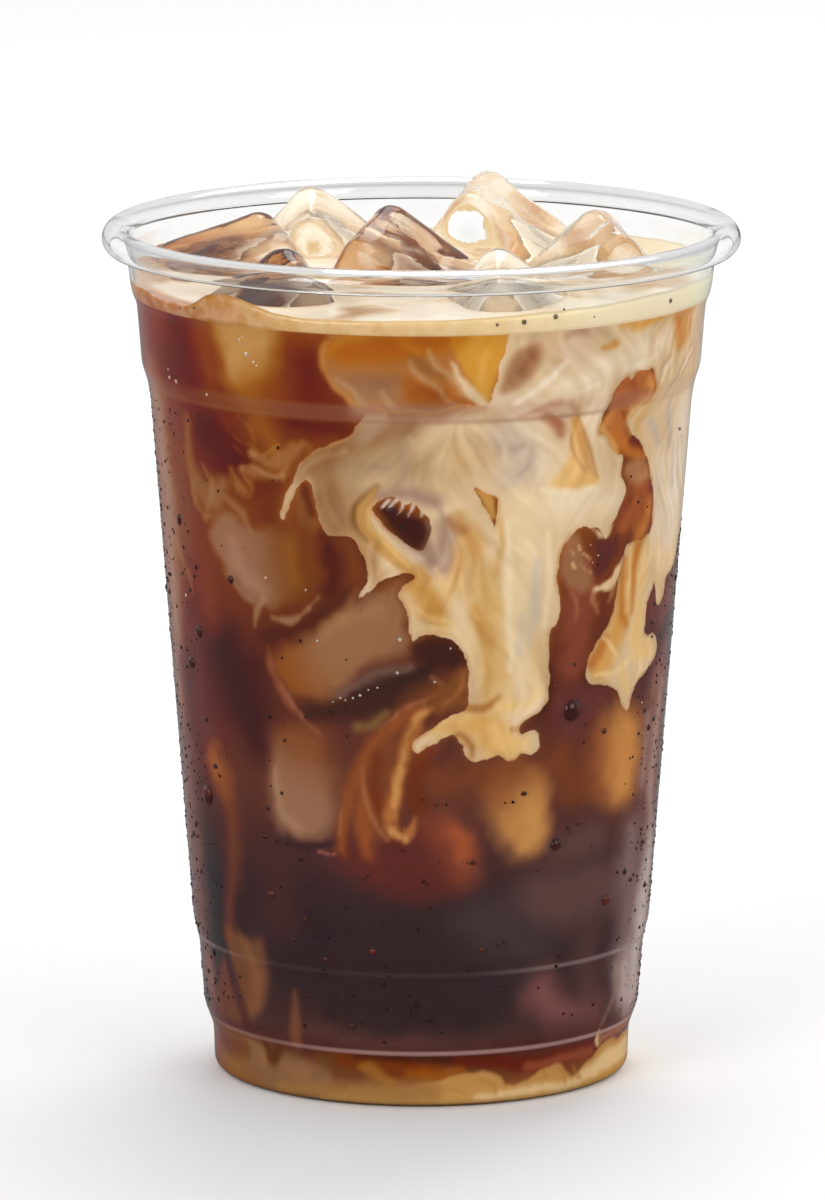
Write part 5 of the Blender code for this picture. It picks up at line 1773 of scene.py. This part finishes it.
def scatter_domes(name, spots, around, rings, sunk=0.12):
    """One mesh of domes. Each spot is (u, z, radius, tallness); the height follows the radius."""
    shape, faces = dome(around, rings)
    spots = np.array(spots, float)
    u, z, size, tall = spots.T
    turn = u / SHEET_RADIUS
    r = outer_radius(z)
    slope = (outer_radius(z + 0.5) - outer_radius(z - 0.5))
    sideways = np.stack([np.cos(turn), np.sin(turn), 0 * turn], axis=1)
    outward = np.stack([np.sin(turn), -np.cos(turn), -slope], axis=1)
    outward /= np.linalg.norm(outward, axis=1, keepdims=True)
    upward = np.cross(outward, sideways)
    upward *= np.sign(upward[:, 2:])
    centre = np.stack([r * np.sin(turn), -r * np.cos(turn), z], axis=1) - outward * (sunk * size)[:, None]
    across, up, out = shape.T
    drip = 1 + 0.25 * np.clip(-up, 0, 1)
    points = (centre[:, None] + sideways[:, None] * (size[:, None] * across)[..., None]
              + upward[:, None] * (size * tall)[:, None, None] * up[None, :, None]
              + outward[:, None] * (0.55 * size[:, None] * out * drip)[..., None]) * MM
    index = faces[None] + (np.arange(len(spots)) * len(shape))[:, None, None]
    mesh = bpy.data.meshes.new(name)
    mesh.from_pydata(points.reshape(-1, 3), [], index.reshape(-1, 3).tolist())
    mesh.update()
    bm = bmesh.new()
    bm.from_mesh(mesh)
    bmesh.ops.recalc_face_normals(bm, faces=bm.faces)
    bm.to_mesh(mesh)
    bm.free()
    return mesh


def mist_spots(count, seed, small, large):
    """Random droplets, thinned out where the photograph's wall is clean."""
    pick = np.random.default_rng(seed)
    u = pick.uniform(-2 * SIDE_U, 2 * SIDE_U, 4 * count)
    z = pick.uniform(*MIST_BAND, 4 * count)
    folded = np.where(np.abs(u) > SIDE_U, 2 * SIDE_U - np.abs(u), np.abs(u))
    patchy = 0.5 + 0.5 * cloud(on_wall(u, z), 12, 601, 2)
    low_left = ease(u, -30, -20) * ease(-u, -12, 0) * ease(-z, -44, -36)
    over_cream = ease(cream_depth(np.where(np.abs(u) > SIDE_U, 0, u), z), -0.6, 0.2)
    density = (0.06 + 0.94 * ease(folded, 34, 50) + 0.3 * low_left) * (1 - 0.97 * over_cream)
    keep = pick.uniform(0, 1, 4 * count) < density * (0.3 + 0.7 * patchy)
    size = small + (large - small) * pick.uniform(0, 1, 4 * count) ** 3
    tall = pick.uniform(0.85, 1.25, 4 * count)
    return np.stack([u, z, size, tall], axis=1)[keep][:count]


def drops_over_coffee(name, gloss, tones):
    """Water over dark coffee, painted opaque: its colour is the dark coffee seen through the drop, and it
    mirrors the lamps.
    """
    made, tree, shader = new_material(name)
    place = place_of(tree)
    dark, brown = (shader_colour(rgb) for rgb in tones)
    grain = ramp(tree, noise_of(tree, place, 300.0), 0.35, 0.7)
    tree.links.new(mix_colours(tree, grain, dark, brown), shader.inputs["Base Color"])
    shader.inputs["Roughness"].default_value = 0.06
    shader.inputs["Specular IOR Level"].default_value = gloss
    return made


mist = scatter_domes("condensation_mist", mist_spots(MIST_COUNT, 11, 0.10, 0.34), 6, 2)
beads = scatter_domes("condensation_beads", mist_spots(BEAD_COUNT, 12, 0.22, 0.55), 12, 4)
large = scatter_domes("condensation_drops", LARGE_DROPS, 24, 8)
for mesh, gloss, tones in ((mist, 0.1, DARK_DROPS), (beads, 0.3, DARK_DROPS), (large, 0.35, RED_DROPS)):
    mesh.materials.append(drops_over_coffee(mesh.name.replace("_", " "), gloss, tones))
    add_piece(mesh.name, mesh)

# %% [markdown]
# Specks and small bubbles sit against the wall, in the cream layer and in the drink below it.
# The bubbles are painted pale, for the glints that they catch.

# %% Bubbles
WALL_SPECKS = [(9.8, 123.2, 0.28), (13.4, 123.4, 0.55), (17.8, 123.9, 0.45), (19, 124.9, 0.2),
    (23.7, 123.3, 0.18), (38.3, 123.7, 0.42), (-23.6, 118.2, 0.14), (-36.6, 122.9, 0.3),
    (-33.4, 123.4, 0.25)]
AMBER_BUBBLES = [(-24.9, 117.2, 0.42), (-25.6, 118.7, 0.2), (-26, 119.4, 0.22), (-25.4, 119.9, 0.16),
    (-23.8, 116.2, 0.2), (-23.3, 115.7, 0.16), (-40.1, 110.9, 0.34), (-42, 111.2, 0.3),
    (-42.2, 112.4, 0.22), (-33, 110, 0.22), (-3.2, 74.4, 0.3), (-3.6, 69.2, 0.24), (-9.3, 65.5, 0.22),
    (-10.4, 65, 0.2), (-15.8, 73.6, 0.2), (4.3, 73, 0.18), (2, 67.8, 0.2), (-44, 76.8, 0.3),
    (-8, 66.4, 0.16), (-11.6, 64.6, 0.14), (-12.4, 64.9, 0.18), (-6.6, 66.8, 0.14), (-13.6, 64.2, 0.14),
    (-17.4, 81.4, 0.16), (-24.2, 82.6, 0.2), (26.4, 87.4, 0.14), (28, 85.6, 0.16), (27, 84.6, 0.14),
    (41.6, 60.4, 0.22), (42.4, 58.8, 0.16)]


def beads_in_wall(name, spots):
    """Small spheres whose outer half lies in the plastic."""
    inside = np.array(inside_path(WALL, 127.0))
    order = np.argsort(inside[:, 1])
    bm = bmesh.new()
    for u, z, size in spots:
        r = np.interp(z, inside[order, 1], inside[order, 0]) + 0.1
        turn = u / SHEET_RADIUS
        spot = Vector((r * math.sin(turn), -r * math.cos(turn), z)) * MM
        ball = Matrix.Translation(spot)
        bmesh.ops.create_icosphere(bm, subdivisions=2, radius=min(size, 0.42) * MM, matrix=ball)
    return mesh_from(bm, name)


def speckled(name, rgb, roughness):
    made, tree, shader = new_material(name)
    place = place_of(tree)
    grain = ramp(tree, noise_of(tree, place, 2500.0), 0.35, 0.65)
    light, dark = shader_colour(rgb), shader_colour(0.7 * np.array(rgb))
    tree.links.new(mix_colours(tree, grain, dark, light), shader.inputs["Base Color"])
    shader.inputs["Roughness"].default_value = roughness
    return made


specks = beads_in_wall("wall_specks", WALL_SPECKS)
specks.materials.append(speckled("coffee specks", (120, 96, 72), 0.3))
add_piece("wall_specks", specks)
# The bubbles are painted pale for their glints.
sparks = beads_in_wall("wall_bubbles", AMBER_BUBBLES)
sparks.materials.append(speckled("bubble skin", (236, 224, 206), 0.1))
add_piece("wall_bubbles", sparks)
